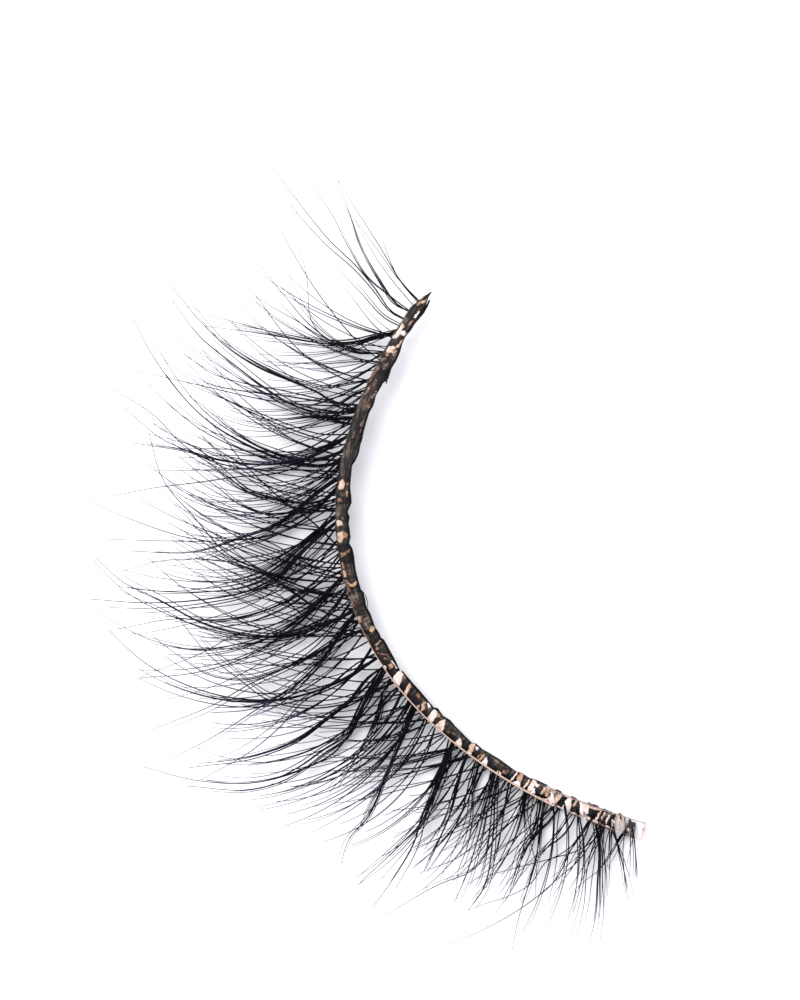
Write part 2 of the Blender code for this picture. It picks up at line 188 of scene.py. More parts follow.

# Films and patches of glue that show on the band, from the inner to the outer corner, with a few tan and
# pale patches among them that are painted glints. Each row has how deep its colour is, from lavender
# over cream, gold and copper to brown, and its corners in pixels of the photograph.
FILM_ROWS = (
    (0.10, (643.5, 822.5), (645.5, 823), (645, 828), (643.5, 827.5)),
    (0.85, (642.5, 827.5), (644.5, 828), (644, 831.5), (642.3, 831)),
    (0.10, (642.3, 832.5), (644.2, 833), (643.5, 839), (642, 838)),
    (0.35, (627, 828), (632, 829), (634, 833), (631, 834), (628, 831)),
    (0.25, (612, 820), (614.5, 822), (613, 826), (611, 826)),
    (0.35, (618.4, 811), (619.6, 811.5), (619.2, 831), (618.4, 831)),
    (0.40, (622.7, 812.5), (623.9, 813), (623.5, 832), (622.7, 832)),
    (0.28, (583, 801), (588.5, 803), (588, 812), (585, 813), (583, 806)),
    (0.10, (580, 801), (583, 801.5), (583, 815), (580, 812)),
    (0.38, (589, 806.2), (600, 808.2), (601, 810.5), (590, 808)),
    (0.30, (589, 817.5), (600, 822.5), (611, 827.5), (611, 829.5), (600, 825), (589, 820)),
    (0.40, (600, 811), (601.3, 811.5), (596.5, 820), (595, 819.5)),
    (0.42, (604, 812.5), (605.3, 813), (601, 821.5), (600, 821)),
    (0.35, (608.3, 816), (610.5, 814.5), (606.3, 823.5), (604.6, 822.5)),
    (0.30, (570, 797), (572, 798), (571, 805), (569.5, 810), (569, 806)),
    (0.40, (577, 798.5), (578.5, 799.5), (574.5, 806), (573, 805)),
    (0.30, (570, 810.5), (579, 815.5), (580, 818), (570, 813)),
    (0.10, (566, 801), (569, 799), (568, 810), (562, 809)),
    (0.42, (557, 794), (562, 795), (556, 804.5), (554, 803)),
    (0.25, (555.5, 805), (561, 807.5), (560.5, 809), (555, 807)),
    (0.12, (549, 799), (553, 797), (554, 803), (551, 806), (548, 804)),
    (0.45, (549, 789), (553, 788.5), (556, 791), (553, 794)),
    (0.40, (545, 801), (549, 796), (550, 798), (547, 803)),
    (0.50, (548, 786), (552, 788), (547, 796), (544.5, 795)),
    (0.40, (544, 787.5), (546, 788.5), (542.5, 794), (540.5, 793)),
    (0.38, (537, 797), (545, 799), (549, 803), (541, 801.5)),
    (0.08, (551, 793), (553, 794), (554, 800), (552.5, 806), (550, 804)),
    (0.25, (533, 780), (535.5, 782), (533, 788), (530, 791), (527, 793), (528, 788), (530.5, 784)),
    (0.03, (530, 792), (534, 789), (535, 793), (532.5, 799), (528.5, 797)),
    (0.15, (536, 783), (539.5, 785), (537, 787), (535.5, 786)),
    (0.35, (528, 780.5), (529.3, 781), (525, 787.5), (524, 787)),
    (0.50, (520, 773.5), (523.5, 774.5), (521.5, 781), (518.5, 781), (516.5, 778)),
    (0.05, (512, 784), (517, 781.5), (520, 782.5), (519, 787), (516, 791), (511, 788.5), (509.5, 785.5)),
    (0.30, (515.5, 773.5), (517, 774), (510, 782.5), (508.5, 782)),
    (0.25, (498, 771.5), (500.5, 773.5), (501.5, 779), (499.5, 782.5), (496.5, 781), (495.5, 776)),
    (0.72, (503, 769), (510, 771), (507, 774), (502, 773)),
    (0.50, (483.5, 754), (485, 755.5), (477.5, 764.5), (475.5, 763)),
    (0.06, (486, 757), (487, 764.5), (484, 769), (480, 767.5), (478.5, 766), (483, 761)),
    (0.75, (478, 755), (482, 753.5), (479, 758), (476, 759)),
    (0.40, (470.5, 744.5), (474.5, 744.5), (473, 750.5), (471, 752.5), (468.5, 750)),
    (0.15, (468.3, 751), (471, 753.2), (469.5, 759), (466, 757.5), (465, 755)),
    (0.05, (476, 746), (478.5, 748), (477.5, 750), (475.5, 749)),
    (0.22, (459, 739), (460.5, 742), (459.5, 750), (456.5, 752), (450.5, 747), (455, 743)),
    # Painted glint, a tan spot of light on the glue
    (0.72, (446, 730), (450, 732), (449, 734), (446, 733)),
    (0.28, (441, 721.5), (444.5, 721), (443.5, 728), (441, 733), (438, 730.5), (435.5, 727.5)),
    (0.20, (433, 711.5), (436.5, 710.5), (435.5, 717), (432, 721), (429.5, 723.5), (426.5, 720.5)),
    (0.62, (437.2, 711), (441, 714), (440, 718), (437, 717)),
    (0.50, (423, 702), (427, 701.5), (424.5, 708), (421.5, 711.5), (421.5, 706)),
    (0.50, (414.5, 708), (419.5, 704.5), (420.5, 706), (415.5, 710)),
    (0.02, (427.5, 703.5), (429, 703), (430.5, 706.5), (428.5, 708)),
    # Painted glint, a tan spot of light on the glue
    (0.70, (417, 693), (421, 697), (419, 699), (416, 695)),
    (0.42, (409.5, 684), (410, 687), (405.5, 698), (403, 695), (406, 689)),
    (0.18, (400, 671.3), (403.5, 671.5), (402, 678), (399.5, 684), (396, 682.5), (393, 680),
     (396.5, 674)),
    (0.62, (404, 672), (407, 675.5), (402.8, 681.5), (400.8, 681)),
    (0.55, (388, 666.5), (391, 663), (393.5, 667), (390, 669.5)),
    (0.10, (392, 661.5), (393, 661.5), (397, 667.5), (396, 668)),
    (0.02, (384, 665.5), (386, 667), (385.5, 670.5), (383.5, 668)),
    (0.78, (377, 652), (388, 654.5), (387.5, 655.8), (377, 654)),
    (0.75, (384, 657.5), (391, 659), (391, 660.2), (384, 659)),
    (0.55, (380, 640), (381.5, 641.5), (376.5, 646.5), (375, 645)),
    (0.66, (376, 647), (379, 647.5), (378, 650.5), (375.5, 649.5)),
    (0.88, (361, 631), (366, 633), (370.5, 640), (366.5, 641)),
    (0.55, (371, 627), (374.5, 625.5), (375.5, 628.5), (371.5, 632.5), (369.5, 630)),
    (0.50, (356, 617), (362, 616), (360.5, 622.5), (358, 620)),
    (0.66, (349, 600), (353, 599), (354.5, 606.5), (351.5, 607)),
    (0.84, (353.5, 597), (358, 598), (357, 603), (354, 602)),
    (0.72, (345, 580), (348, 580.5), (350.5, 592), (348, 592)),
    (0.50, (348.5, 583), (352, 584), (356, 581), (357.5, 583), (353, 587), (350, 586)),
    (0.70, (341, 562), (343, 562), (345, 569.5), (342.5, 569)),
    (0.55, (342.5, 570), (346, 571), (346.5, 577), (344, 577)),
    (0.84, (347, 573), (353, 573.5), (353, 575), (347.5, 575.5)),
    (0.72, (340, 552.5), (346, 552), (350.5, 548), (351.5, 550.5), (345, 556.5), (341, 558)),
    (0.45, (338, 533.5), (343, 532), (343.5, 538), (340.5, 542), (337.5, 540)),
    (0.62, (344, 531.5), (348.5, 534.5), (345.5, 539), (344, 538)),
    (0.35, (337, 521), (340.5, 520.5), (342.5, 524), (338, 525.5)),
    (0.72, (337, 499), (341, 497.5), (342.5, 501), (338, 503)),
    (0.52, (347, 491), (349.5, 494), (347.5, 497.5), (345.8, 495)),
    (0.66, (346.5, 483), (349, 482.5), (348.5, 486), (346.5, 486)),
    (0.42, (340, 481), (343, 480), (344.5, 486), (341, 489.5), (339, 488)),
    (0.88, (340, 492), (344, 493.5), (343.5, 497), (340, 496)),
    (0.90, (341, 516.5), (345, 517), (344.5, 520.5), (341, 520)),
    (0.94, (341, 462), (345, 461), (344, 478), (340.5, 476)),
    (0.92, (347.5, 443), (351.5, 441), (349, 458), (345.5, 459)),
    (0.86, (353, 432), (355.5, 431), (355.5, 437), (352, 438.5)),
    (0.82, (360.5, 429), (362.5, 429.5), (361.5, 433.5), (360, 432.5)),
    (0.70, (361, 421.5), (364.5, 420.5), (363.5, 425.5), (361, 427.5), (360, 425)),
    (0.88, (358, 408), (360, 408), (358.5, 419), (356.5, 420)),
    (0.74, (366, 405.5), (369.5, 404), (371.5, 407), (368, 409.5)),
    (0.66, (371, 397), (374, 393.5), (376.5, 393.5), (375, 397.5), (372, 399)),
    (0.70, (363.5, 400), (367, 395), (366, 403), (363.5, 403)),
    (0.84, (369, 386), (372, 387.5), (364, 398), (361, 404), (361.5, 398)),
    (0.55, (374, 391.5), (378.5, 391), (377, 396), (376.8, 393)),
    (0.80, (375, 379), (378, 378.5), (376, 386), (372.5, 387)),
    (0.84, (378, 363.5), (381, 365.5), (370, 384), (367, 384)),
    (0.76, (389.5, 369), (391.5, 370.5), (387.5, 378), (385.5, 377)),
    (0.82, (384.5, 364.5), (389, 362), (386.5, 369), (382.5, 371)),
    (0.86, (381, 358), (387, 357.5), (385.5, 361.5), (380, 362.5)),
    (0.60, (385, 352.5), (389, 353), (388.5, 356), (385.5, 356)),
    (0.52, (391.5, 351.5), (396.5, 350.5), (396, 354.5), (393, 356)),
    (0.30, (389, 347), (393, 346), (395, 349.5), (390.5, 352), (387, 351.5)),
    (0.48, (403, 339.5), (404.5, 341.5), (398.5, 347.5), (395.8, 346.5)),
    (0.05, (392, 334), (394.5, 335.5), (394, 338.5), (391.5, 337.5)),
    (0.55, (405.8, 333), (407.5, 332.5), (406.5, 337), (405, 337.5)),
    # Painted glint, a pale spot of light
    (0.02, (402, 331), (405, 331.5), (404.5, 335.5), (401, 334.5)),
    (0.28, (402, 324.5), (403.5, 327.5), (399, 335), (396, 337.5), (395, 335)),
    (0.66, (407, 325), (412, 319.5), (414.5, 320.5), (409, 327)),
    (0.12, (414, 317), (419, 311.5), (421.5, 312.5), (417, 318)),
    (0.76, (425, 309), (428, 304), (429, 305), (420, 318), (418.5, 318.5)),
    (0.58, (416, 303.5), (420.5, 301.5), (421.5, 304), (417, 306)),
    (0.45, (421.5, 301.5), (428, 298.5), (432, 294.5), (433, 296.5), (429, 300), (422.5, 303)),
)

# Wisps that fill the fringe between the drawn ones, for each cluster of lashes.
# turn and spread: degrees off the lashes' aim there, towards the outer corner. wisps and
# lashes: how many on average. part: degrees that a wisp's lashes part by their tips.
# length, weight and sweep: shares of the lash's length, thickness and sweep.
WISP_COLUMNS = ("turn", "spread", "wisps", "lashes", "part", "length", "weight", "sweep")
WISP_ROWS = (
    (-20, 5, 1.4, 2.2, 3.0, 0.88, 0.90, 1.50),
    (-8, 7, 0.9, 1.4, 3.0, 0.76, 0.84, 1.25),
    (24, 8, 2.0, 1.4, 3.0, 0.84, 0.84, 0.86),
    (4, 16, 0.8, 1.2, 3.0, 0.55, 0.84, 1.00),
)

# How many of those wisps there are at places along the band, as shares of their numbers
FILL_PLACES = (0.00, 0.14, 0.26, 0.46, 0.62, 0.72, 0.92)
FILL_SHARES = (0.40, 0.80, 1.30, 0.70, 0.90, 0.95, 0.70)

# Places of the clusters of lashes along the band
CLUSTER_PLACES = (
    0.020, 0.053, 0.063, 0.075, 0.101, 0.125, 0.142, 0.160, 0.181, 0.204, 0.232, 0.257,
    0.278, 0.306, 0.333, 0.352, 0.370, 0.384, 0.403, 0.422, 0.448, 0.478, 0.499, 0.520,
    0.544, 0.564, 0.585, 0.612, 0.634, 0.660, 0.686, 0.712, 0.735, 0.756, 0.780, 0.804,
    0.827, 0.852, 0.876, 0.898, 0.918,
)

# Lashes drawn from the photograph, from the inner corner to the outer corner.
# Each row has the number of lashes that lie along it in the same wisp, its thickness as a
# share of the usual one, and its course from the root to the tip in pixels of the photograph.
GUIDE_ROWS = (
    (0, 0.60, (632, 836), (630, 850), (627, 864)),
    (0, 0.70, (623, 829), (623, 850), (624, 870), (626, 899)),
    (2, 0.95, (632, 823), (622, 836), (610, 856), (600, 868)),
    (0, 0.70, (632, 823), (622, 837), (600, 869), (580, 885), (571, 894)),
    (0, 0.70, (611, 826), (610, 840), (610, 860), (609, 888)),
    (0, 0.90, (610, 826), (606, 843), (604, 862)),
    (0, 0.60, (600, 826), (603, 850), (602, 890), (599, 920)),
    (6, 1.00, (590, 819), (597, 833), (599, 850), (598, 880), (596, 915), (590, 941)),
    (1, 0.90, (606, 822), (590, 845), (579, 860), (561, 876), (539, 895)),
    (2, 1.00, (595, 818), (577, 841), (568, 854), (555, 880)),
    (0, 0.80, (592, 818), (572, 848), (554, 882), (530, 902), (489, 927), (442, 947)),
    (0, 0.80, (600, 822), (594, 842), (587, 870), (584, 905), (576, 939)),
    (0, 0.80, (575, 812), (577, 834), (578, 856), (576, 890), (573, 911)),
    (1, 0.80, (572, 808), (558, 834), (546, 849), (536, 862), (528, 881), (520, 901)),
    (1, 0.80, (578, 812), (562, 836), (545, 849), (527, 868), (512, 887)),
    (3, 1.00, (563, 802), (550, 820), (538, 832), (523, 852), (513, 879), (502, 901)),
    (0, 0.70, (560, 802), (557, 830), (557, 855), (553, 883), (549, 901)),
    (2, 1.00, (544, 796), (542, 812), (539, 835), (537, 855), (530, 882), (522, 903)),
    (0, 0.85, (545, 796), (543, 815), (538, 848), (527, 890), (517, 925), (511, 957)),
    (2, 0.90, (541, 794), (536, 822), (520, 851), (515, 872), (510, 890)),
    (0, 0.70, (533, 792), (531, 815), (531, 842), (536, 865), (535, 898)),
    (2, 1.00, (526, 788), (524, 812), (525, 838), (521, 857)),
    (0, 0.90, (524, 785), (508, 802), (489, 829), (462, 855), (420, 873)),
    (1, 0.90, (538, 792), (520, 813), (498, 835), (473, 870), (440, 884), (386, 915)),
    (0, 0.80, (606, 826), (596, 838), (577, 851), (557, 857), (508, 870), (475, 879)),
    (0, 0.80, (590, 820), (582, 835), (561, 854), (546, 862), (533, 881), (469, 910)),
    (4, 1.05, (496, 770), (495, 799), (494, 823), (492, 848), (484, 888), (468, 911)),
    (4, 1.05, (492, 769), (488, 796), (478, 838), (466, 876), (454, 903)),
    (1, 0.90, (508, 777), (505, 807), (497, 848), (487, 877), (481, 894)),
    (0, 0.70, (478, 762), (472, 791), (473, 815), (467, 848), (458, 872), (457, 900)),
    (2, 1.00, (463, 752), (457, 784), (447, 823), (431, 854), (424, 871)),
    (5, 1.05, (450, 740), (440, 772), (431, 799), (420, 824), (404, 841), (358, 885)),
    (2, 1.00, (452, 742), (436, 787), (421, 820), (416, 838), (393, 879), (373, 907)),
    (2, 1.00, (465, 750), (461, 775), (453, 806), (439, 841), (426, 869)),
    (2, 0.90, (474, 758), (470, 780), (460, 817), (443, 848), (427, 872)),
    (1, 0.80, (483, 764), (474, 789), (470, 820), (460, 856)),
    (4, 1.05, (410, 700), (407, 720), (399, 744), (386, 777), (369, 816), (348, 841), (341, 864)),
    (2, 1.00, (412, 703), (405, 735), (389, 769), (371, 803), (358, 830)),
    (2, 0.95, (400, 685), (385, 698), (378, 720), (366, 742), (350, 768), (330, 792)),
    (2, 0.95, (392, 672), (384, 691), (373, 723), (352, 765), (338, 788)),
    (5, 1.05, (381, 663), (363, 706), (347, 738), (325, 753), (304, 769), (283, 781),
     (254, 789), (184, 786)),
    (2, 1.00, (383, 666), (358, 720), (333, 754), (304, 769), (260, 782), (200, 781), (143, 767)),
    (5, 1.05, (384, 664), (367, 680), (352, 700), (326, 721), (301, 740), (260, 757), (188, 768)),
    (1, 0.90, (378, 652), (356, 664), (330, 686), (304, 701), (280, 727), (254, 749), (201, 780)),
    (5, 1.10, (380, 656), (364, 667), (340, 682), (323, 689), (282, 699), (240, 699), (194, 688),
     (141, 660), (109, 630)),
    (6, 1.10, (355, 608), (346, 624), (323, 658), (302, 680), (279, 699), (252, 709), (210, 713)),
    (1, 0.90, (355, 610), (333, 644), (302, 680), (265, 704), (220, 733), (171, 759)),
    (1, 0.90, (358, 616), (332, 640), (292, 665), (250, 684), (217, 703), (151, 730)),
    (2, 0.95, (363, 628), (339, 641), (310, 658), (277, 671), (245, 680), (209, 675), (180, 657),
     (154, 637)),
    (4, 1.05, (356, 608), (342, 617), (313, 628), (279, 636), (240, 633), (203, 623), (160, 600),
     (120, 580), (96, 558)),
    (1, 0.90, (356, 610), (340, 619), (310, 631), (265, 637), (209, 629), (160, 611), (123, 590),
     (94, 561)),
    (4, 1.05, (347, 572), (333, 585), (308, 614), (274, 642), (237, 661), (194, 673), (139, 678)),
    (1, 0.90, (345, 568), (321, 583), (290, 600), (252, 615), (220, 620), (174, 619), (118, 629)),
    (0, 0.80, (349, 584), (300, 612), (265, 628), (237, 634), (206, 651), (139, 677)),
    (0, 0.80, (355, 606), (310, 634), (279, 641), (240, 644), (206, 650), (160, 643), (93, 611)),
    (7, 1.10, (341, 516), (326, 531), (303, 550), (280, 574), (246, 592), (208, 599), (150, 603),
     (88, 599)),
    (4, 1.00, (341, 508), (320, 530), (291, 553), (260, 573), (220, 581), (190, 580), (163, 573)),
    (0, 0.80, (341, 512), (310, 537), (281, 556), (240, 562), (194, 559), (160, 561), (123, 571)),
    (1, 0.90, (342, 545), (321, 561), (300, 579), (284, 592), (262, 606)),
    (4, 1.00, (342, 470), (314, 495), (298, 509), (277, 524), (240, 538), (200, 551), (125, 551)),
    (0, 0.85, (341, 500), (310, 520), (270, 536), (215, 541), (168, 541), (99, 539)),
    (1, 0.90, (341, 497), (310, 507), (273, 515), (240, 505), (221, 490), (200, 474), (180, 457)),
    (0, 0.85, (341, 502), (310, 511), (270, 518), (220, 510), (190, 500), (167, 486)),
    (0, 0.85, (341, 500), (300, 511), (251, 513), (217, 506), (190, 493), (160, 474), (144, 461)),
    (5, 1.05, (352, 426), (336, 444), (310, 457), (293, 462), (264, 465), (223, 461), (187, 452),
     (133, 443)),
    (1, 0.90, (345, 448), (310, 463), (278, 473), (237, 477), (194, 483), (160, 487), (112, 496)),
    (1, 0.85, (352, 430), (310, 450), (270, 452), (223, 449), (174, 448), (158, 446)),
    (1, 0.90, (376, 356), (349, 362), (320, 364), (289, 363), (262, 361)),
    (3, 1.00, (360, 416), (341, 418), (310, 416), (282, 419), (256, 418), (230, 410)),
    (0, 0.85, (353, 434), (320, 434), (287, 424), (254, 411), (219, 397), (183, 381)),
    (0, 0.85, (362, 404), (310, 405), (250, 397), (220, 390), (181, 381), (128, 369)),
    (2, 0.95, (368, 385), (354, 395), (333, 407), (310, 413), (282, 414)),
    (1, 0.85, (358, 415), (333, 432), (307, 440), (280, 449), (255, 455)),
    (1, 1.00, (361, 628), (320, 610), (292, 591), (264, 572), (230, 556), (194, 517), (163, 480),
     (149, 433)),
    (1, 0.95, (354, 604), (310, 590), (270, 573), (235, 560), (197, 539), (166, 521)),
    (0, 0.85, (352, 600), (300, 586), (262, 570), (213, 543), (180, 536), (130, 519), (84, 499)),
    (0, 0.90, (346, 576), (323, 570), (298, 559), (273, 544), (234, 532), (203, 519), (188, 510)),
    (0, 0.90, (346, 578), (319, 569), (289, 562), (254, 551), (220, 536), (180, 520), (140, 500)),
    (0, 0.90, (366, 640), (305, 617), (279, 595), (252, 583), (227, 570), (195, 557)),
    (0, 0.85, (362, 636), (300, 636), (240, 621), (203, 601), (174, 581), (147, 557)),
    (1, 0.95, (395, 684), (345, 704), (300, 708), (268, 700), (240, 680), (203, 649), (180, 620)),
    (0, 0.80, (390, 678), (330, 700), (280, 697), (244, 676), (223, 657), (205, 640)),
    (2, 0.95, (342, 488), (314, 503), (282, 501), (252, 494), (226, 476), (200, 457), (160, 438),
     (125, 408)),
    (1, 0.95, (341, 507), (303, 512), (271, 497), (240, 489), (217, 471), (194, 459), (170, 441)),
    (0, 1.00, (345, 556), (310, 520), (280, 498), (260, 480), (240, 459), (221, 434), (206, 418)),
    (3, 1.00, (347, 460), (320, 466), (292, 462), (268, 454), (240, 441), (208, 421), (178, 391),
     (156, 361), (133, 320)),
    (0, 0.90, (344, 472), (300, 470), (258, 470), (218, 463), (190, 450), (150, 412), (108, 387)),
    (1, 0.90, (350, 446), (310, 460), (270, 451), (236, 433), (208, 410), (189, 396)),
    (0, 0.80, (352, 440), (320, 450), (290, 438), (259, 413), (233, 389), (207, 356)),
    (0, 0.70, (347, 462), (300, 458), (250, 447), (218, 434), (180, 414), (161, 399)),
    (4, 1.05, (365, 410), (341, 413), (310, 411), (287, 402), (262, 386), (233, 364), (201, 338),
     (173, 302)),
    (2, 1.00, (366, 406), (343, 409), (320, 394), (290, 381), (261, 369), (229, 349), (200, 321),
     (167, 280)),
    (1, 0.90, (377, 378), (355, 382), (325, 386), (302, 380), (262, 363), (222, 338)),
    (2, 0.90, (364, 408), (320, 399), (280, 390), (243, 383), (213, 374), (181, 351)),
    (0, 0.90, (376, 384), (350, 381), (325, 369), (300, 351), (277, 325), (260, 301), (244, 280)),
    (0, 0.90, (386, 354), (350, 348), (317, 334), (297, 321), (260, 300), (241, 287)),
    (2, 1.00, (388, 350), (360, 353), (331, 341), (311, 326), (283, 294), (258, 263)),
    (0, 0.70, (389, 345), (350, 343), (325, 338), (314, 326), (307, 279), (297, 230), (296, 200)),
    (0, 0.60, (387, 350), (345, 345), (311, 316), (290, 276), (276, 243)),
    (0, 0.85, (381, 364), (357, 341), (326, 304), (300, 265), (280, 226), (273, 197)),
    (9, 1.00, (399, 326), (381, 335), (355, 342), (331, 344), (304, 341), (281, 337), (250, 332),
     (204, 326)),
    (3, 0.85, (399, 328), (381, 337), (343, 350), (310, 355), (252, 354)),
    (0, 0.80, (398, 330), (340, 345), (290, 337), (261, 329), (220, 318), (171, 301)),
    (1, 0.90, (401, 327), (386, 319), (361, 293), (340, 270), (331, 256)),
    (0, 0.80, (392, 338), (383, 333), (354, 300), (338, 278)),
    (0, 0.60, (393, 336), (376, 319), (356, 298)),
    (1, 1.00, (406, 321), (391, 311), (376, 290), (357, 267), (330, 241), (297, 200), (264, 156)),
    (1, 0.90, (412, 314), (391, 297), (366, 276), (350, 250), (331, 213), (300, 169)),
    (2, 0.95, (411, 313), (397, 304), (380, 280), (363, 250), (353, 223), (337, 178)),
    (1, 0.90, (417, 302), (400, 280), (380, 247), (359, 214), (333, 172)),
    (0, 0.80, (416, 304), (399, 279), (391, 263), (384, 244), (377, 220)),
    (0, 0.70, (412, 308), (400, 290), (377, 259), (359, 227), (350, 207)),
)


def eased(columns, rows, column, shares):
    """Values of a table's column at shares of the way along, on a smooth curve through it."""
    places = np.array([row[0] for row in rows])
    values = np.array([row[columns.index(column)] for row in rows], dtype=float)
    return through(places, values, shares)


def through(places, values, wanted):
    """Values on a smooth curve through the given places and values."""
    slopes = np.gradient(values, places)
    wanted = np.asarray(wanted, dtype=float)
    index = np.clip(np.searchsorted(places, wanted) - 1, 0, len(places) - 2)
    span = places[index + 1] - places[index]
    t = np.clip((wanted - places[index]) / span, 0.0, 1.0)
    start, end = values[index], values[index + 1]
    rise_in, rise_out = slopes[index] * span, slopes[index + 1] * span
    return (
        start * (1 + 2 * t) * (1 - t) ** 2
        + rise_in * t * (1 - t) ** 2
        + end * t * t * (3 - 2 * t)
        + rise_out * t * t * (t - 1)
    )


def band_value(column, along):
    """Values of a column of the band's table at shares of the way along."""
    return eased(BAND_COLUMNS, BAND_ROWS, column, along)


def lash_value(column, along):
    """Values of a column of the lashes' table at shares of the way along."""
    return eased(LASH_COLUMNS, LASH_ROWS, column, along)


def band_places(along):
    """Points of the band's course, at the underside of the roots."""
    return np.stack((
        HALF_CHORD * band_value("across", along) - MIDDLE_ACROSS,
        SAG * band_value("out", along) - MIDDLE_OUT,
        BAND_RISE * np.minimum(band_value("rise", along), 1.0),
    ), axis=-1)


def normal_angles(along):
    """Directions in plan that point squarely off the band on its lash side."""
    along = np.asarray(along, dtype=float)
    step = 0.01
    ahead = band_places(np.minimum(along + step, 1.0))
    ahead = ahead - band_places(np.maximum(along - step, 0.0))
    return np.arctan2(ahead[..., 1], ahead[..., 0]) + math.pi / 2


def over_band(along, across, height):
    """Points at a share along the band, a distance to its lash side and a height, in metres."""
    angle = normal_angles(along)
    places = band_places(along)
    places[..., 0] += np.cos(angle) * across
    places[..., 1] += np.sin(angle) * across
    places[..., 2] += height
    return places


def band_length():
    """Length of the band along its course."""
    steps = np.diff(band_places(np.linspace(0.0, 1.0, 200)), axis=0)
    return float(np.linalg.norm(steps, axis=1).sum())


def photo_places(points, heights):
    """Points at heights over the table that show at these pixels of the photograph."""
    points = np.asarray(points, dtype=float)
    right = (points[:, 0] - PICTURE[0] / 2) * PIXEL
    up = (PICTURE[1] / 2 - points[:, 1]) * PIXEL
    near = 1.0 - np.asarray(heights) / CAMERA_HEIGHT
    across = CAMERA_AIM[0] + near * (right * CAMERA_RIGHT[0] + up * CAMERA_UP[0])
    out = CAMERA_AIM[1] + near * (right * CAMERA_RIGHT[1] + up * CAMERA_UP[1])
    return np.stack((across, out, np.broadcast_to(heights, across.shape)), axis=-1)


def band_spots(pixels, height):
    """Shares along the band and distances across it that show at pixels of the photograph."""
    along = np.linspace(0.0, 1.0, 1200)
    course = band_places(along)
    normal = normal_angles(along)
    rise = np.zeros(len(pixels))
    for _ in range(3):
        flat = photo_places(pixels, rise + height)[:, :2]
        away = np.linalg.norm(flat[:, None] - course[None, :, :2], axis=2)
        index = away.argmin(axis=1)
        rise = course[index, 2]
    offset = flat - course[index, :2]
    across = offset[:, 0] * np.cos(normal[index]) + offset[:, 1] * np.sin(normal[index])
    return along[index], across


def slab_outline(value, corners, rng):
    """Roughened outline of a slab in pixels, grown more where its value is low, and its centre."""
    outline = np.array(corners, dtype=float)
    after = np.roll(outline, -1, axis=0)
    outline = np.stack((0.94 * outline + 0.06 * after, 0.06 * outline + 0.94 * after), axis=1)
    outline = outline.reshape(-1, 2)
    outline = np.vstack((outline, outline[:1]))
    steps = np.r_[0.0, np.cumsum(np.linalg.norm(np.diff(outline, axis=0), axis=1))]
    wanted = np.linspace(0.0, steps[-1], SLAB_CORNERS + 1)[:-1]
    outline = np.stack([np.interp(wanted, steps, outline[:, axis]) for axis in (0, 1)], -1)
    centre = outline.mean(axis=0)
    outline = centre + (outline - centre) * np.interp(value, (0.40, 0.60), (1.28, 1.04))
    rough = rng.normal(0.0, min(0.5, np.ptp(outline, axis=0).min() * 0.07), outline.shape)
    return outline + (rough + np.roll(rough, 1, axis=0)) / 2, centre


def slabs(rows, base, top, half):
    """Rings and first values of thin slabs on the band, which stay between its edges."""
    rings, values = [], []
    rng = np.random.default_rng(3)
    for value, *corners in rows:
        outline, centre = slab_outline(value, corners, rng)
        levels = []
        for share, size in SLAB_LEVELS:
            along, across = band_spots(centre + (outline - centre) * size, base)
            edge = np.maximum(half * band_value("width", along), LEAST_HALF)
            across = np.clip(across, -edge, edge)
            levels.append(over_band(along, across, base + (top - base) * share))
        x, y = outline.T
        turned = x @ np.roll(y, -1) > y @ np.roll(x, -1)
        rings.append(np.array(levels)[:, ::-1] if turned else np.array(levels))
        values.append(value)
    return np.array(rings), np.repeat(values, len(SLAB_LEVELS) * SLAB_CORNERS)


def lash_heights(at, root, belly, lift):
    """Heights of a lash at shares of its length: down to its belly, then up to its tip."""
    down = belly + (root - belly) * (1 - at / BELLY_AT) ** 2
    up = belly + lift * (np.maximum(at - BELLY_AT, 0.0) / (1 - BELLY_AT)) ** CURL_POWER
    return np.where(at < BELLY_AT, down, up)


def closed_bodies(rings):
    """Points and faces of closed bodies. rings has the shape bodies, rings, corners, 3."""
    bodies, count, corners = rings.shape[:3]
    first = np.arange(bodies)[:, None, None] * count * corners
    row = np.arange(count - 1)[None, :, None] * corners
    side = np.arange(corners)[None, None, :]
    after = (side + 1) % corners
    base = first + row
    quads = np.stack(
        (base + side, base + after, base + corners + after, base + corners + side), axis=-1
    ).reshape(-1, 4)
    faces = quads.tolist()
    start = first[:, 0] + np.arange(corners)[None, ::-1]
    end = first[:, 0] + (count - 1) * corners + np.arange(corners)[None, :]
    faces += start.tolist() + end.tolist()
    return rings.reshape(-1, 3), faces


def add_piece(name, points, faces, material, node, attributes=()):
    """Adds a mesh to the scene as a piece of the strip that stands for a CAD node."""
    mesh = bpy.data.meshes.new(name)
    mesh.from_pydata(np.asarray(points).tolist(), [], faces)
    mesh.validate()
    for label, values in attributes:
        layer = mesh.attributes.new(label, "FLOAT", "POINT")
        layer.data.foreach_set("value", np.asarray(values, dtype=np.float32).ravel())
    mesh.polygons.foreach_set("use_smooth", [True] * len(mesh.polygons))
    mesh.materials.append(material)
    mesh.update()
    piece = bpy.data.objects.new(name, mesh)
    bpy.context.scene.collection.objects.link(piece)
    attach(piece, BODY)
    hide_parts(node)
    return piece


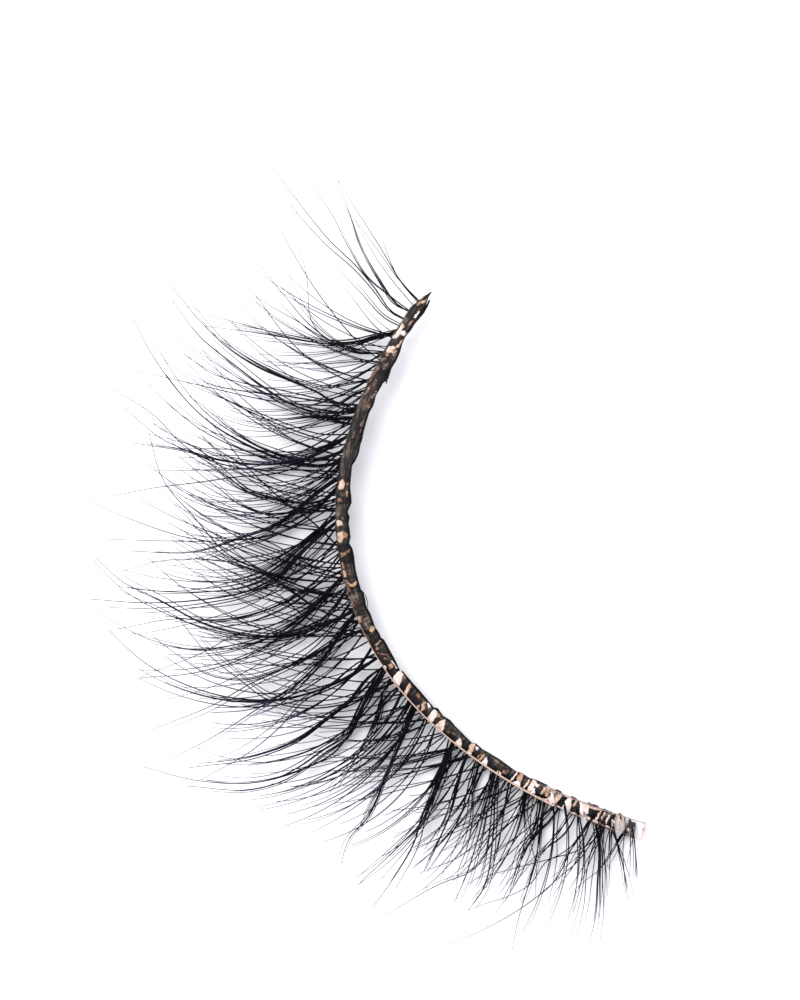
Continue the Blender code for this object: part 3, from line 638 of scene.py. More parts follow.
def tube_rings(paths, radii, corners, flatness=1.0):
    """Rings round paths of the shape bodies, points, 3, with a radius at each point."""
    ahead = np.gradient(paths, axis=1)
    ahead /= np.linalg.norm(ahead, axis=2, keepdims=True)
    side = np.cross(ahead, np.array((0.0, 0.0, 1.0)))
    side /= np.maximum(np.linalg.norm(side, axis=2, keepdims=True), 1e-9)
    up = np.cross(side, ahead)
    turn = np.arange(corners) * math.tau / corners
    across = side[:, :, None] * np.cos(turn)[None, None, :, None]
    over = up[:, :, None] * np.sin(turn)[None, None, :, None] * flatness
    return paths[:, :, None] + (across + over) * radii[:, :, None, None]


class Nodes:
    """A material under construction, with short calls for the nodes that it uses."""

    def __init__(self, name):
        self.material = bpy.data.materials.new(name)
        self.material.use_nodes = True
        self.tree = self.material.node_tree
        self.shader = self.tree.nodes["Principled BSDF"]

    def add(self, kind, inputs=None, **settings):
        """New node with these settings, and with values or links at its inputs."""
        node = self.tree.nodes.new(kind)
        for key, value in settings.items():
            setattr(node, key, value)
        for key, value in (inputs or {}).items():
            self.feed(node.inputs[key], value)
        return node

    def feed(self, socket, value):
        if isinstance(value, bpy.types.NodeSocket):
            self.tree.links.new(value, socket)
        else:
            socket.default_value = value

    def set(self, **values):
        """Values or links at the shader's inputs, named with underscores for spaces."""
        for key, value in values.items():
            self.feed(self.shader.inputs[key.replace("_", " ")], value)

    def attribute(self, label):
        return self.add("ShaderNodeAttribute", attribute_name=label).outputs["Fac"]

    def noise(self, scale, detail=3.0, roughness=0.55):
        place = self.add("ShaderNodeTexCoord").outputs["Object"]
        return self.add(
            "ShaderNodeTexNoise",
            {"Vector": place, "Scale": scale, "Detail": detail, "Roughness": roughness},
        ).outputs["Fac"]

    def spread(self, value, low, high, to_low=0.0, to_high=1.0):
        """The value's range from low to high, spread over another range."""
        return self.add(
            "ShaderNodeMapRange",
            {"Value": value, "From Min": low, "From Max": high, "To Min": to_low, "To Max": to_high},
        ).outputs["Result"]

    def mix(self, share, first, second):
        node = self.add("ShaderNodeMix", data_type="RGBA")
        self.feed(node.inputs["Factor"], share)
        self.feed(node.inputs["A"], first)
        self.feed(node.inputs["B"], second)
        return node.outputs["Result"]

    def ramp(self, value, stops):
        """Colour that runs through the stops, each of them a place and a colour."""
        node = self.add("ShaderNodeValToRGB", {"Fac": value})
        points = node.color_ramp.elements
        while len(points) < len(stops):
            points.new(0.5)
        for point, (place, colour) in zip(points, stops):
            point.position = place
            point.color = rgba(colour)
        return node.outputs["Color"]

    def streaks(self, long_scale, cross_scale, detail=3.0):
        """Noise drawn out along the band, from the attributes run and side in millimetres."""
        place = self.add("ShaderNodeCombineXYZ", {
            "X": self.maths("MULTIPLY", self.attribute("run"), long_scale),
            "Y": self.maths("MULTIPLY", self.attribute("side"), cross_scale),
        }).outputs["Vector"]
        return self.add(
            "ShaderNodeTexNoise", {"Vector": place, "Scale": 1.0, "Detail": detail, "Roughness": 0.6}
        ).outputs["Fac"]

    def maths(self, operation, first, second):
        node = self.add("ShaderNodeMath", operation=operation)
        self.feed(node.inputs[0], first)
        self.feed(node.inputs[1], second)
        return node.outputs["Value"]

    def bump(self, height, strength, distance):
        node = self.add("ShaderNodeBump", {"Height": height, "Strength": strength, "Distance": distance})
        self.set(Normal=node.outputs["Normal"])


def rgba(colour):
    """The colour with full opacity."""
    return (colour[0], colour[1], colour[2], 1.0)


class EyelashBandSettings(bpy.types.PropertyGroup):
    """Sizes and colours of the clear band and of the glue that shows through it."""

    width: FloatProperty(
        name="Band width", description="Width of the clear band in the middle of the strip",
        default=0.00054, min=0.0002, max=0.002, unit="LENGTH", precision=5,
    )
    thickness: FloatProperty(
        name="Band thickness", description="Thickness of the clear band's sheet",
        default=0.00009, min=0.00003, max=0.0005, unit="LENGTH", precision=5,
    )
    tint: FloatVectorProperty(
        name="Band tint", description="Colour of the clear band",
        default=(0.80, 0.68, 0.62), subtype="COLOR", min=0.0, max=1.0,
    )
    body: FloatProperty(
        name="Band body", description="How much its bare end hides of what lies under it",
        default=0.015, min=0.0, max=1.0, subtype="FACTOR",
    )
    # The edge colour is a painted highlight on the clear band's edges and cut end.
    edge: FloatVectorProperty(
        name="Edge colour", description="Colour of the band's edge near the inner corner",
        default=(0.66, 0.36, 0.28), subtype="COLOR", min=0.0, max=1.0,
    )
    pale: FloatVectorProperty(
        name="Pale film", description="Colour of the thinnest film of glue",
        default=(0.72, 0.65, 0.68), subtype="COLOR", min=0.0, max=1.0,
    )
    cream: FloatVectorProperty(
        name="Cream film", description="Colour of the film in the gaps between the clusters",
        default=(0.72, 0.58, 0.51), subtype="COLOR", min=0.0, max=1.0,
    )
    gold: FloatVectorProperty(
        name="Gold glue", description="Colour of the thicker film",
        default=(0.47, 0.30, 0.18), subtype="COLOR", min=0.0, max=1.0,
    )
    copper: FloatVectorProperty(
        name="Copper glue", description="Colour of the glue patches further along",
        default=(0.23, 0.105, 0.055), subtype="COLOR", min=0.0, max=1.0,
    )
    brown: FloatVectorProperty(
        name="Brown glue", description="Colour of the deepest, dullest glue",
        default=(0.040, 0.028, 0.023), subtype="COLOR", min=0.0, max=1.0,
    )


class EyelashHairSettings(bpy.types.PropertyGroup):
    """Sizes and colours of the lashes."""

    radius: FloatProperty(
        name="Lash radius", description="Radius of a lash where it leaves the band",
        default=0.000045, min=0.00001, max=0.0002, unit="LENGTH", precision=6,
    )
    tip: FloatProperty(
        name="Tip share", description="Share of that radius at the tip",
        default=0.36, min=0.05, max=1.0, subtype="FACTOR",
    )
    colour: FloatVectorProperty(
        name="Lash colour", description="Colour of the lashes",
        default=(0.0014, 0.0015, 0.0030), subtype="COLOR", min=0.0, max=1.0,
    )
    tip_colour: FloatVectorProperty(
        name="Tip colour", description="Colour of the fine tips",
        default=(0.050, 0.055, 0.098), subtype="COLOR", min=0.0, max=1.0,
    )
    seed: IntProperty(
        name="Seed", description="Seed of the lashes' small differences", default=7, min=0,
    )


class EyelashStudioSettings(bpy.types.PropertyGroup):
    """The pale floor and the soft light."""

    floor: FloatVectorProperty(
        name="Floor colour", description="Colour of the floor",
        default=(0.90, 0.90, 0.90), subtype="COLOR", min=0.0, max=1.0,
    )
    key: FloatProperty(
        name="Key light", description="Power of the soft light from the upper left",
        default=1.13, min=0.0, unit="POWER",
    )
    fill: FloatProperty(
        name="Fill light", description="Strength of the even light all round",
        default=1.07, min=0.0,
    )
    fill_colour: FloatVectorProperty(
        name="Fill colour", description="Colour of the even light all round",
        default=(0.92, 0.918, 1.0), subtype="COLOR", min=0.0, max=1.0,
    )


def hair_material(settings):
    """Black fibre with a fine grain, a little lighter and bluer at its tips."""
    look = Nodes("lash_fibre")
    tipward = look.spread(look.attribute("lash_share"), 0.50, 1.0)
    tone = look.attribute("lash_tone")
    grain = look.noise(5200.0, 2.0)
    colour = look.mix(tipward, rgba(settings.colour), rgba(settings.tip_colour))
    lighter = look.maths("MULTIPLY", tone, grain)
    colour = look.mix(lighter, colour, (0.007, 0.007, 0.009, 1.0))
    look.set(Base_Color=colour, Roughness=look.spread(grain, 0.3, 0.7, 0.42, 0.62))
    look.shader.inputs["Specular IOR Level"].default_value = 0.05
    look.bump(grain, 0.25, 0.00002)
    return look.material


def clump_material():
    """Lash roots soaked in glue: near black to grey-brown, with tan streaks that are painted glints."""
    look = Nodes("glued_roots")
    brown = look.attribute("brown")
    crossing = look.attribute("crossing")
    broad = look.noise(2000.0, 1.0)
    strength = look.spread(crossing, 0.0, 1.0, 0.7, 1.0)
    threads = look.maths("MULTIPLY", look.streaks(5.0, 1.2, 1.5), strength)
    drawn = look.maths("MAXIMUM", look.streaks(1.1, 8.0, 1.5), threads)
    # lit marks the painted glints: tan streaks along the roots, stronger where the roots are browner.
    lit = look.spread(drawn, 0.49, 0.66)
    lit = look.maths("MULTIPLY", lit, look.spread(broad, 0.34, 0.60, 0.15, 1.0))
    lit = look.maths("MULTIPLY", lit, brown)
    body = look.mix(brown, (0.0026, 0.0025, 0.0034, 1.0), (0.031, 0.0275, 0.027, 1.0))
    colour = look.mix(lit, body, (0.26, 0.19, 0.135, 1.0))
    look.set(Base_Color=colour, Roughness=look.spread(broad, 0.3, 0.7, 0.38, 0.58))
    look.shader.inputs["Specular IOR Level"].default_value = 0.10
    look.bump(drawn, 0.20, 0.00002)
    return look.material


def glue_material(settings):
    """Film of glue whose colour follows its depth, mottled, with worn places and a darker verge."""
    look = Nodes("glue_film")
    depth = look.attribute("depth")
    mottle = look.noise(7000.0, 4.0, 0.65)
    broad = look.noise(3000.0, 2.0)
    depth = look.maths("ADD", depth, look.spread(broad, 0.3, 0.7, -0.07, 0.07))
    colour = look.ramp(depth, (
        (0.0, settings.pale), (0.22, settings.cream), (0.50, settings.gold),
        (0.72, settings.copper), (0.96, settings.brown),
    ))
    colour = look.mix(look.spread(mottle, 0.52, 0.68, 0.0, 0.6), colour, (0.13, 0.075, 0.05, 1.0))
    colour = look.mix(look.spread(mottle, 0.40, 0.30, 0.0, 0.3), colour, (0.86, 0.76, 0.69, 1.0))
    worn = look.spread(look.noise(5200.0, 1.5), 0.46, 0.60, 0.0, 0.85)
    worn = look.maths("MULTIPLY", worn, look.spread(depth, 0.35, 0.60))
    colour = look.mix(worn, colour, (0.020, 0.017, 0.017, 1.0))
    verge = look.maths("MULTIPLY", look.attribute("verge"), look.spread(broad, 0.25, 0.55, 0.3, 1.0))
    verge = look.maths("MULTIPLY", verge, look.spread(depth, 0.2, 0.6, 0.08, 0.9))
    colour = look.mix(verge, colour, (0.03, 0.02, 0.017, 1.0))
    look.set(Base_Color=colour, Roughness=look.spread(mottle, 0.3, 0.7, 0.22, 0.45))
    look.shader.inputs["Specular IOR Level"].default_value = 0.3
    look.bump(mottle, 0.3, 0.00003)
    return look.material


def clear_material(settings):
    """Clear flexible sheet, tinted at its bare end, with a painted pink highlight that makes it denser
    at its edges and its cut end.
    """
    look = Nodes("clear_sheet")
    edge = look.attribute("sheet_edge_highlight")
    waves = look.noise(1800.0, 2.0)
    # The edge colour, and the opacity that shows it, are a painted highlight along the band's edges and
    # its cut end.
    colour = look.mix(edge, rgba(settings.tint), rgba(settings.edge))
    bare = look.maths("MULTIPLY", look.attribute("bare"), settings.body)
    look.set(
        Base_Color=colour, Alpha=look.maths("MAXIMUM", look.maths("MULTIPLY", edge, 0.75), bare),
        Roughness=look.spread(waves, 0.3, 0.7, 0.08, 0.24),
    )
    look.bump(waves, 0.35, 0.00004)
    return look.material


def edge_highlight_material(settings):
    """Bead of painted highlight along the band's lash edge, pink near the inner corner and brown further
    along.
    """
    look = Nodes("edge_highlight_bead")
    brown = look.attribute("brown")
    grain = look.noise(6500.0, 3.0)
    # The bead's colour is a painted highlight: the pink to brown line of light along the clear band's
    # edge.
    colour = look.mix(brown, (0.52, 0.37, 0.285, 1.0), (0.060, 0.042, 0.034, 1.0))
    colour = look.mix(look.spread(grain, 0.5, 0.75, 0.0, 0.6), colour, (0.10, 0.05, 0.035, 1.0))
    look.set(Base_Color=colour, Roughness=look.spread(grain, 0.3, 0.7, 0.2, 0.4))
    look.bump(grain, 0.3, 0.00002)
    return look.material


def floor_material(settings):
    """Smooth matt paper with a barely visible tooth."""
    look = Nodes("pale_floor")
    tooth = look.noise(900.0, 4.0)
    lighter = tuple(min(1.0, part * 1.004) for part in settings.floor)
    colour = look.mix(tooth, rgba(settings.floor), rgba(lighter))
    look.set(Base_Color=colour, Roughness=0.9)
    look.shader.inputs["Specular IOR Level"].default_value = 0.1
    return look.material


class EYELASH_OT_clear_band(bpy.types.Operator):
    """Adds the clear band over the roots, from its square cut end to its drawn-out end"""

    bl_idname = "eyelash.clear_band"
    bl_label = "Clear band"
    # Corners of half the sheet's section: share of the width, share of the thickness
    SECTION = (
        (-0.500, 0.30), (-0.470, 0.06), (-0.420, 0.00), (0.420, 0.00), (0.475, 0.06),
        (0.505, 0.30), (0.500, 0.80), (0.470, 1.00), (0.420, 1.06), (0.340, 1.00),
        (0.000, 0.94), (-0.340, 0.98), (-0.430, 1.00), (-0.480, 0.86),
    )

    def execute(self, context):
        settings = context.scene.eyelash_band
        along = np.concatenate((np.linspace(0.0, 0.004, 5), np.linspace(0.006, 0.992, 320)))
        share = np.array(self.SECTION)
        width = settings.width * band_value("width", along)[:, None]
        across = share[None, :, 0] * width + BAND_SHIFT
        lift = ROOT_THICKNESS + 0.00003 + share[None, :, 1] * settings.thickness
        rings = over_band(np.repeat(along[:, None], len(share), 1), across, lift)
        points, faces = closed_bodies(rings[None])
        # Shares of painted highlight along the bare rim and on the cut end
        rim = np.clip((np.abs(share[:, 0]) - 0.45) / 0.05, 0.0, 1.0)
        fade = np.clip((0.17 - along) / 0.06, 0.0, 1.0)
        cut = np.clip((0.0035 - along) / 0.002, 0.0, 1.0)
        bare = np.clip((0.045 - along) / 0.01, 0.0, 1.0)
        edge = np.maximum(rim[None, :] * fade[:, None] * 0.6, cut[:, None] * 0.7)
        add_piece(
            "clear_sheet", points, faces, clear_material(settings), "clear_band",
            (("sheet_edge_highlight", edge), ("bare", np.repeat(bare[:, None], len(share), 1))),
        )
        return {"FINISHED"}


class EYELASH_OT_band_edge(bpy.types.Operator):
    """Adds the beads of painted highlight along the band's edges and the dark rim of knotted root ends
    """

    bl_idname = "eyelash.band_edge"
    bl_label = "Band edges"

    def execute(self, context):
        self.add_highlight_beads(context.scene.eyelash_band)
        self.add_knotted_rim()
        return {"FINISHED"}

    def add_highlight_beads(self, settings):
        """The fine raised lines along the lash edge and along the bare part of the rim, coloured as
        painted highlights on the clear band's edges.
        """
        half = settings.width / 2
        along = np.linspace(0.13, 0.985, 420)
        width = band_value("width", along)
        across = half * width + BAND_SHIFT + 0.005 * MM
        path = over_band(along, across, ROOT_THICKNESS + 0.10 * MM)
        thick = through(
            np.array((0.0, 0.22, 0.30, 0.40, 0.50, 1.0)),
            np.array((0.050, 0.045, 0.036, 0.030, 0.014, 0.012)) * MM, along,
        )
        far = np.linspace(0.003, 0.145, 120)
        rim = -half * band_value("width", far) + BAND_SHIFT
        far_path = over_band(far, rim, ROOT_THICKNESS + 0.09 * MM)
        material = edge_highlight_material(settings)
        beads = (
            ("edge_highlight_bead", path, thick, np.clip((along - 0.44) / 0.12, 0.0, 1.0)),
            ("rim_highlight_bead", far_path, np.full(len(far), 0.020 * MM), np.full(len(far), 0.70)),
        )
        for name, course, radii, brown in beads:
            points, faces = closed_bodies(tube_rings(course[None], radii[None], BEAD_CORNERS))
            add_piece(
                name, points, faces, material, "clear_band",
                (("brown", np.repeat(brown, BEAD_CORNERS)),),
            )

    def add_knotted_rim(self):
        """The dark rim of root ends, which steps in and out and is thickest in the middle."""
        along = np.linspace(0.150, 0.988, 900)
        rim = rim_across(along)
        thick = through(
            np.array((0.0, 0.15, 0.28, 0.38, 0.50, 1.0)),
            np.array((0.02, 0.02, 0.03, 0.055, 0.060, 0.050)) * MM, along,
        )
        path = over_band(along, rim + thick * 0.8, ROOT_THICKNESS * 0.75)
        points, faces = closed_bodies(tube_rings(path[None], thick[None], BEAD_CORNERS, 1.6))
        run = np.repeat(along, BEAD_CORNERS) * band_length() / MM
        add_piece(
            "knotted_rim", points, faces, clump_material(), "lash_fringe",
            (("brown", np.zeros(len(points))), ("run", run)),
        )


def rim_across(along):
    """Distances across the band of its dark rim, which steps in and out."""
    places, across = band_spots(RIM_COURSE, ROOT_THICKNESS)
    places = np.maximum.accumulate(places) + np.arange(len(places)) * 1e-7
    return np.interp(along, places, across)


class EYELASH_OT_loose_ends(bpy.types.Operator):
    """Adds the loose hair ends, nub and glue thread that stand off the band's rim"""

    bl_idname = "eyelash.loose_ends"
    bl_label = "Loose ends"

    STATIONS = 20
    HEIGHT = 0.2 * MM

    def execute(self, context):
        bodies, browns = [], []
        at = np.linspace(0.0, 1.0, self.STATIONS)
        for brown, radius, *pixels in LOOSE_ROWS:
            along, across = band_spots(np.array(pixels, dtype=float), self.HEIGHT)
            corners = over_band(along, across, self.HEIGHT)
            places = np.linspace(0.0, 1.0, len(corners))
            path = np.stack([through(places, corners[:, axis], at) for axis in range(3)], -1)
            thick = radius * MM * np.interp(at, (0.0, 0.7, 1.0), (1.0, 0.9, 0.5))
            bodies.append(tube_rings(path[None], thick[None], BEAD_CORNERS)[0])
            browns.append(brown)
        points, faces = closed_bodies(np.array(bodies))
        add_piece(
            "loose_ends", points, faces, clump_material(), "lash_fringe",
            (
                ("brown", np.repeat(browns, self.STATIONS * BEAD_CORNERS)),
                ("run", points[:, 0] / MM), ("side", points[:, 1] / MM),
            ),
        )
        return {"FINISHED"}


class EYELASH_OT_glue_film(bpy.types.Operator):
    """Adds the films and patches of glue that show on the band"""

    bl_idname = "eyelash.glue_film"
    bl_label = "Glue films"

    # Heights of the films' undersides and tops over the band's course, and how much of the
    # verge's colour each level of a film has
    UNDERSIDE = 0.20 * MM
    TOP = 0.318 * MM
    VERGE = (1.0, 1.0, 0.6, 0.0)

    def execute(self, context):
        settings = context.scene.eyelash_band
        rings, depths = slabs(FILM_ROWS, self.UNDERSIDE, self.TOP, settings.width / 2)
        points, faces = closed_bodies(rings)
        verge = np.tile(np.repeat(self.VERGE, SLAB_CORNERS), len(FILM_ROWS))
        add_piece(
            "glue_films", points, faces, glue_material(settings), "lash_fringe",
            (("depth", depths), ("verge", verge)),
        )
        return {"FINISHED"}


class EYELASH_OT_root_clumps(bpy.types.Operator):
    """Adds the mass of glued lash roots under the clear band, and its separate blocks"""

    bl_idname = "eyelash.root_clumps"
    bl_label = "Root clumps"

    CORNERS = 40
    STATIONS = 1500
    # The mass in millimetres: its middle and half height over the band's course, the heights of
    # its ridges and steps, and the pitches of the ridges across the band and along it
    MIDDLE = 0.165
    HALF_HEIGHT = 0.095
    RIDGE = 0.030
    STEP = 0.028
    CROSS_PITCH = 0.27
    LONG_PITCH = 0.15

    def execute(self, context):
        settings = context.scene.eyelash_band
        material = clump_material()
        rings, browns = slabs(ROOT_ROWS, 0.04 * MM, 0.30 * MM, settings.width / 2 + 0.05 * MM)
        points, faces = closed_bodies(rings)
        add_piece(
            "root_blocks", points, faces, material, "lash_fringe",
            (("brown", browns), ("side", points[:, 0] / MM), ("run", points[:, 1] / MM)),
        )
        self.add_mass(settings, material)
        return {"FINISHED"}

    def add_mass(self, settings, material):
        """One long body from the clear inner end to the outer tip, ridged by the roots."""
        rng = np.random.default_rng(5)
        along = np.linspace(0.152, 0.999, self.STATIONS)
        run = along * band_length() / MM
        rim, edge = self.sides(settings, along)
        turn = np.arange(self.CORNERS) * math.tau / self.CORNERS
        u = np.sign(np.cos(turn)) * np.abs(np.cos(turn)) ** 0.8
        v = np.sign(np.sin(turn)) * np.abs(np.sin(turn)) ** 0.6
        side = (rim + edge)[:, None] / 2 + u[None] * (edge - rim)[:, None] / 2
        lean = through(
            np.array((0.0, 0.24, 0.30, 0.47, 0.60, 1.0)),
            np.array((0.00, 0.05, 0.30, 0.25, 0.05, 0.00)), along,
        )
        crossing = 1.0 - 0.75 * np.clip((along - 0.52) / 0.10, 0.0, 1.0)
        wander = np.interp(run, np.arange(0, 40, 0.5), rng.uniform(-2.0, 2.0, 80))
        leaning = run[:, None] + lean[:, None] * side
        cross_phase = leaning / self.CROSS_PITCH * math.tau + wander[:, None]
        starts = np.cumsum(rng.uniform(0.22, 0.62, 120))
        blocks = rng.uniform(0.0, 1.0, 121)[np.searchsorted(starts, run)]
        drift = np.interp(run, np.arange(0, 40, 1.1), rng.uniform(-0.10, 0.10, 37))
        long_phase = (side + drift[:, None]) / self.LONG_PITCH * math.tau
        ridge = 0.5 + 0.5 * (
            crossing[:, None] * np.cos(cross_phase)
            + (1.0 - crossing)[:, None] * np.cos(long_phase)
        )
        middle = 1.0 - np.abs(u) ** 3
        raised = (0.5 + 0.5 * v)[None] * middle[None]
        relief = self.RIDGE * ridge + self.STEP * blocks[:, None]
        height = self.MIDDLE + v[None] * self.HALF_HEIGHT + raised * relief
        rings = over_band(
            np.repeat(along[:, None], self.CORNERS, 1), side * MM, height * MM,
        )
        points, faces = closed_bodies(rings[None])
        rimward = np.clip(0.5 - side / (edge - rim)[:, None], 0.0, 1.0)
        near = np.clip((0.50 - along) / 0.05, 0.0, 1.0)[:, None]
        step = blocks[:, None]
        dull = 1.5 * rimward ** 1.8 * (0.25 + 0.75 * step)
        brown = near * dull + (1.0 - near) * (0.10 + 0.90 * step)
        # Painted highlight: the crests of the ridges get more brown, which lightens them and strengthens
        # their painted glints.
        brown = brown * (0.55 + 0.45 * ridge)
        add_piece(
            "root_mass", points, faces, material, "lash_fringe",
            (
                ("brown", brown), ("side", side),
                ("crossing", np.repeat(crossing[:, None], self.CORNERS, 1)),
                ("run", np.repeat(run[:, None], self.CORNERS, 1)),
            ),
        )

    def sides(self, settings, along):
        """Millimetres across the band of the mass's rim and lash side, which near at the tip."""
        width = settings.width * band_value("width", along) / MM
        rim = rim_across(along) / MM
        edge = width / 2 + BAND_SHIFT / MM - 0.01
        slim = np.clip((1.0 - along) / 0.035, 0.12, 1.0) ** 0.7
        middle = (rim + edge) / 2
        return middle + (rim - middle) * slim, middle + (edge - middle) * slim


def lash_radii(at, radius, tip):
    """Radii along lashes: full at the root, thinning slowly and then to a fine tip."""
    places = np.array((0.0, 0.12, 0.40, 0.70, 0.90, 1.0))
    return radius * through(places, np.array((1.0, 1.0, 0.83, 0.61, 0.42, tip)), at)


class EYELASH_OT_lash_clusters(bpy.types.Operator):
    """Adds the lashes, which leave the band in clusters of wisps and sweep to the outer corner"""

    bl_idname = "eyelash.lash_clusters"
    bl_label = "Lash clusters"

    STATIONS = 18
    CORNERS = 5

    def execute(self, context):
        settings = context.scene.eyelash_hair
        rng = np.random.default_rng(settings.seed)
        rows = self.lash_rows(rng)
        paths, at = self.courses(rows)
        thin = np.interp(rows["along"], (0.0, 0.15, 0.3, 0.62, 0.85), (0.8, 0.9, 1.0, 1.0, 0.78))
        weight = rows["weight"] * thin
        radii = lash_radii(at, settings.radius, settings.tip) * weight[:, None]
        rings = tube_rings(paths, radii, self.CORNERS)
        points, faces = closed_bodies(rings)
        paler = 0.30 * np.clip((rows["along"] - 0.66) / 0.16, 0.0, 1.0)
        share = np.broadcast_to((at + paler[:, None])[:, :, None], rings.shape[:3])
        tone = np.broadcast_to(rows["tone"][:, None, None], rings.shape[:3])
        add_piece(
            "lash_clusters", points, faces, hair_material(settings), "lash_fringe",
            (("lash_share", share), ("lash_tone", tone)),
        )
        return {"FINISHED"}

    def lash_rows(self, rng):
        """One entry for each lash: where it starts, where it heads, how long it is."""
        length = band_length()
        found = []
        for place in CLUSTER_PLACES:
            step = rng.uniform(0.86, 1.0)
            share = float(np.interp(place, FILL_PLACES, FILL_SHARES))
            for row in WISP_ROWS:
                wisp = dict(zip(WISP_COLUMNS, row))
                for _ in range(int(wisp["wisps"] * share + rng.random())):
                    turn = wisp["turn"] + rng.uniform(-1, 1) * wisp["spread"]
                    wisp_length = wisp["length"] * step * rng.uniform(0.86, 1.02)
                    start = place + rng.uniform(-0.11, 0.11) * MM / length
                    belly = rng.uniform(0.0, 0.40) * MM
                    sweep = wisp["sweep"] * rng.uniform(0.90, 1.10)
                    for _ in range(int(wisp["lashes"] + rng.random())):
                        found.append((
                            start + rng.uniform(-0.06, 0.06) * MM / length,
                            turn,
                            rng.normal(0.0, wisp["part"]),
                            sweep + rng.uniform(-0.06, 0.06),
                            wisp_length * rng.uniform(0.80, 1.04),
                            belly + rng.uniform(0.0, 0.10) * MM,
                            rng.uniform(0.90, 1.06),
                            rng.uniform(-0.10, 0.12) * MM,
                            rng.uniform(-2.5, 2.5),
                            rng.uniform(0.80, 1.12) * wisp["weight"],
                            rng.random(),
                        ))
        names = (
            "along", "turn", "part", "sweep", "length", "belly", "lift", "root", "wave",
            "weight", "tone",
        )
        return dict(zip(names, np.array(found).T))

    def courses(self, rows):
        """Paths of the lashes, and the share of its length at each station."""
        at = np.linspace(0.0, 1.0, self.STATIONS) ** 0.92
        along = rows["along"]
        reach = LONGEST_LASH * lash_value("length", along) * rows["length"]
        sweep = np.radians(lash_value("sweep", along)) * rows["sweep"]
        aim = np.radians(lash_value("aim", along) + rows["turn"])
        heading = normal_angles(along) - aim + sweep / 2
        middle = (at[1:] + at[:-1]) / 2
        turn = heading[:, None] - sweep[:, None] * middle[None]
        turn = turn + np.radians(rows["part"])[:, None] * middle[None] ** 0.8
        turn = turn + np.radians(rows["wave"])[:, None] * np.sin(middle * math.tau)[None]
        stride = reach[:, None] * np.diff(at)[None]
        root = over_band(along, -ROOT_BACK, ROOT_THICKNESS / 2)
        root[:, 2] += rows["root"]
        across = np.concatenate((np.zeros((len(along), 1)), np.cumsum(np.cos(turn) * stride, 1)), 1)
        out = np.concatenate((np.zeros((len(along), 1)), np.cumsum(np.sin(turn) * stride, 1)), 1)
        lift = TIP_LIFT * lash_value("lift", along) * rows["length"] * rows["lift"]
        belly = BELLY_HEIGHT + rows["belly"]
        height = lash_heights(at[None], root[:, 2:], belly[:, None], lift[:, None])
        paths = np.stack((root[:, :1] + across, root[:, 1:2] + out, height), axis=-1)
        return paths, np.broadcast_to(at[None], height.shape)


class EYELASH_OT_drawn_lashes(bpy.types.Operator):
    """Adds the wisps and single lashes whose courses were drawn from the photograph"""

    bl_idname = "eyelash.drawn_lashes"
    bl_label = "Drawn lashes"

    STATIONS = 24
    CORNERS = 5

    def execute(self, context):
        settings = context.scene.eyelash_hair
        rng = np.random.default_rng(settings.seed + 1)
        paths, weights = [], []
        for companions, weight, *course in GUIDE_ROWS:
            wisp = rng.uniform(0.0, 0.45) * MM
            for number in range(companions + 1):
                paths.append(self.course(course, rng, wisp, number > 0))
                thin = np.interp(course[0][1], (340, 440, 750, 830), (0.78, 1.0, 1.0, 0.85))
                weights.append(thin * weight * (1.0 if number == 0 else rng.uniform(0.64, 0.92)))
        paths = np.array(paths)
        at = np.broadcast_to(np.linspace(0.0, 1.0, self.STATIONS)[None], paths.shape[:2])
        radii = lash_radii(at, settings.radius, settings.tip) * np.array(weights)[:, None]
        rings = tube_rings(paths, radii, self.CORNERS)
        points, faces = closed_bodies(rings)
        share = np.broadcast_to(at[:, :, None], rings.shape[:3])
        tone = np.broadcast_to(rng.random(len(paths))[:, None, None], rings.shape[:3])
        add_piece(
            "drawn_lashes", points, faces, hair_material(settings), "lash_fringe",
            (("lash_share", share), ("lash_tone", tone)),
        )
        return {"FINISHED"}

    def course(self, pixels, rng, wisp, beside):
        """Path of one lash, or of a lash beside it, from the band to its tip."""
        flat = photo_places(pixels, np.zeros(len(pixels)))[:, :2]
        along = nearest_along(flat[0])
        if beside:
            along = along + rng.uniform(-0.12, 0.12) * MM / band_length()
        root = over_band(np.clip(along, 0.004, 0.996), -ROOT_BACK, ROOT_THICKNESS / 2)
        root[2] += rng.uniform(-0.10, 0.10) * MM
        rough = np.vstack((root[:2], flat[1:]))
        steps = np.r_[0.0, np.cumsum(np.linalg.norm(np.diff(rough, axis=0), axis=1))]
        share = steps[-1] / (LONGEST_LASH * float(lash_value("length", along)))
        lift = TIP_LIFT * float(lash_value("lift", along)) * min(share, 1.04)
        belly = BELLY_HEIGHT + wisp + rng.uniform(0.0, 0.08) * MM
        heights = lash_heights(steps / steps[-1], root[2], belly, lift)
        exact = photo_places(pixels, heights)[:, :2]
        exact[0] = root[:2]
        wanted = np.linspace(0.0, 1.0, self.STATIONS)
        if beside:
            reach = rng.uniform(0.74, 1.0)
            parted = rng.normal(0.0, 0.050) * steps[-1]
            wanted = wanted * reach
        plan = np.stack([through(steps, exact[:, axis], steps[-1] * wanted) for axis in (0, 1)], -1)
        height = lash_heights(wanted, root[2], belly, lift)
        if beside:
            ahead = np.gradient(plan, axis=0)
            ahead /= np.linalg.norm(ahead, axis=1, keepdims=True)
            aside = np.stack((-ahead[:, 1], ahead[:, 0]), axis=-1)
            close = rng.uniform(-0.12, 0.12) * MM * np.minimum(wanted * 6, 1.0)
            plan = plan + aside * (parted * wanted ** 1.4 + close)[:, None]
        return np.column_stack((plan, height))


def nearest_along(point):
    """Share along the band of the place nearest to a point in plan."""
    along = np.linspace(0.004, 0.996, 500)
    away = np.linalg.norm(band_places(along)[:, :2] - point, axis=1)
    return float(along[int(np.argmin(away))])


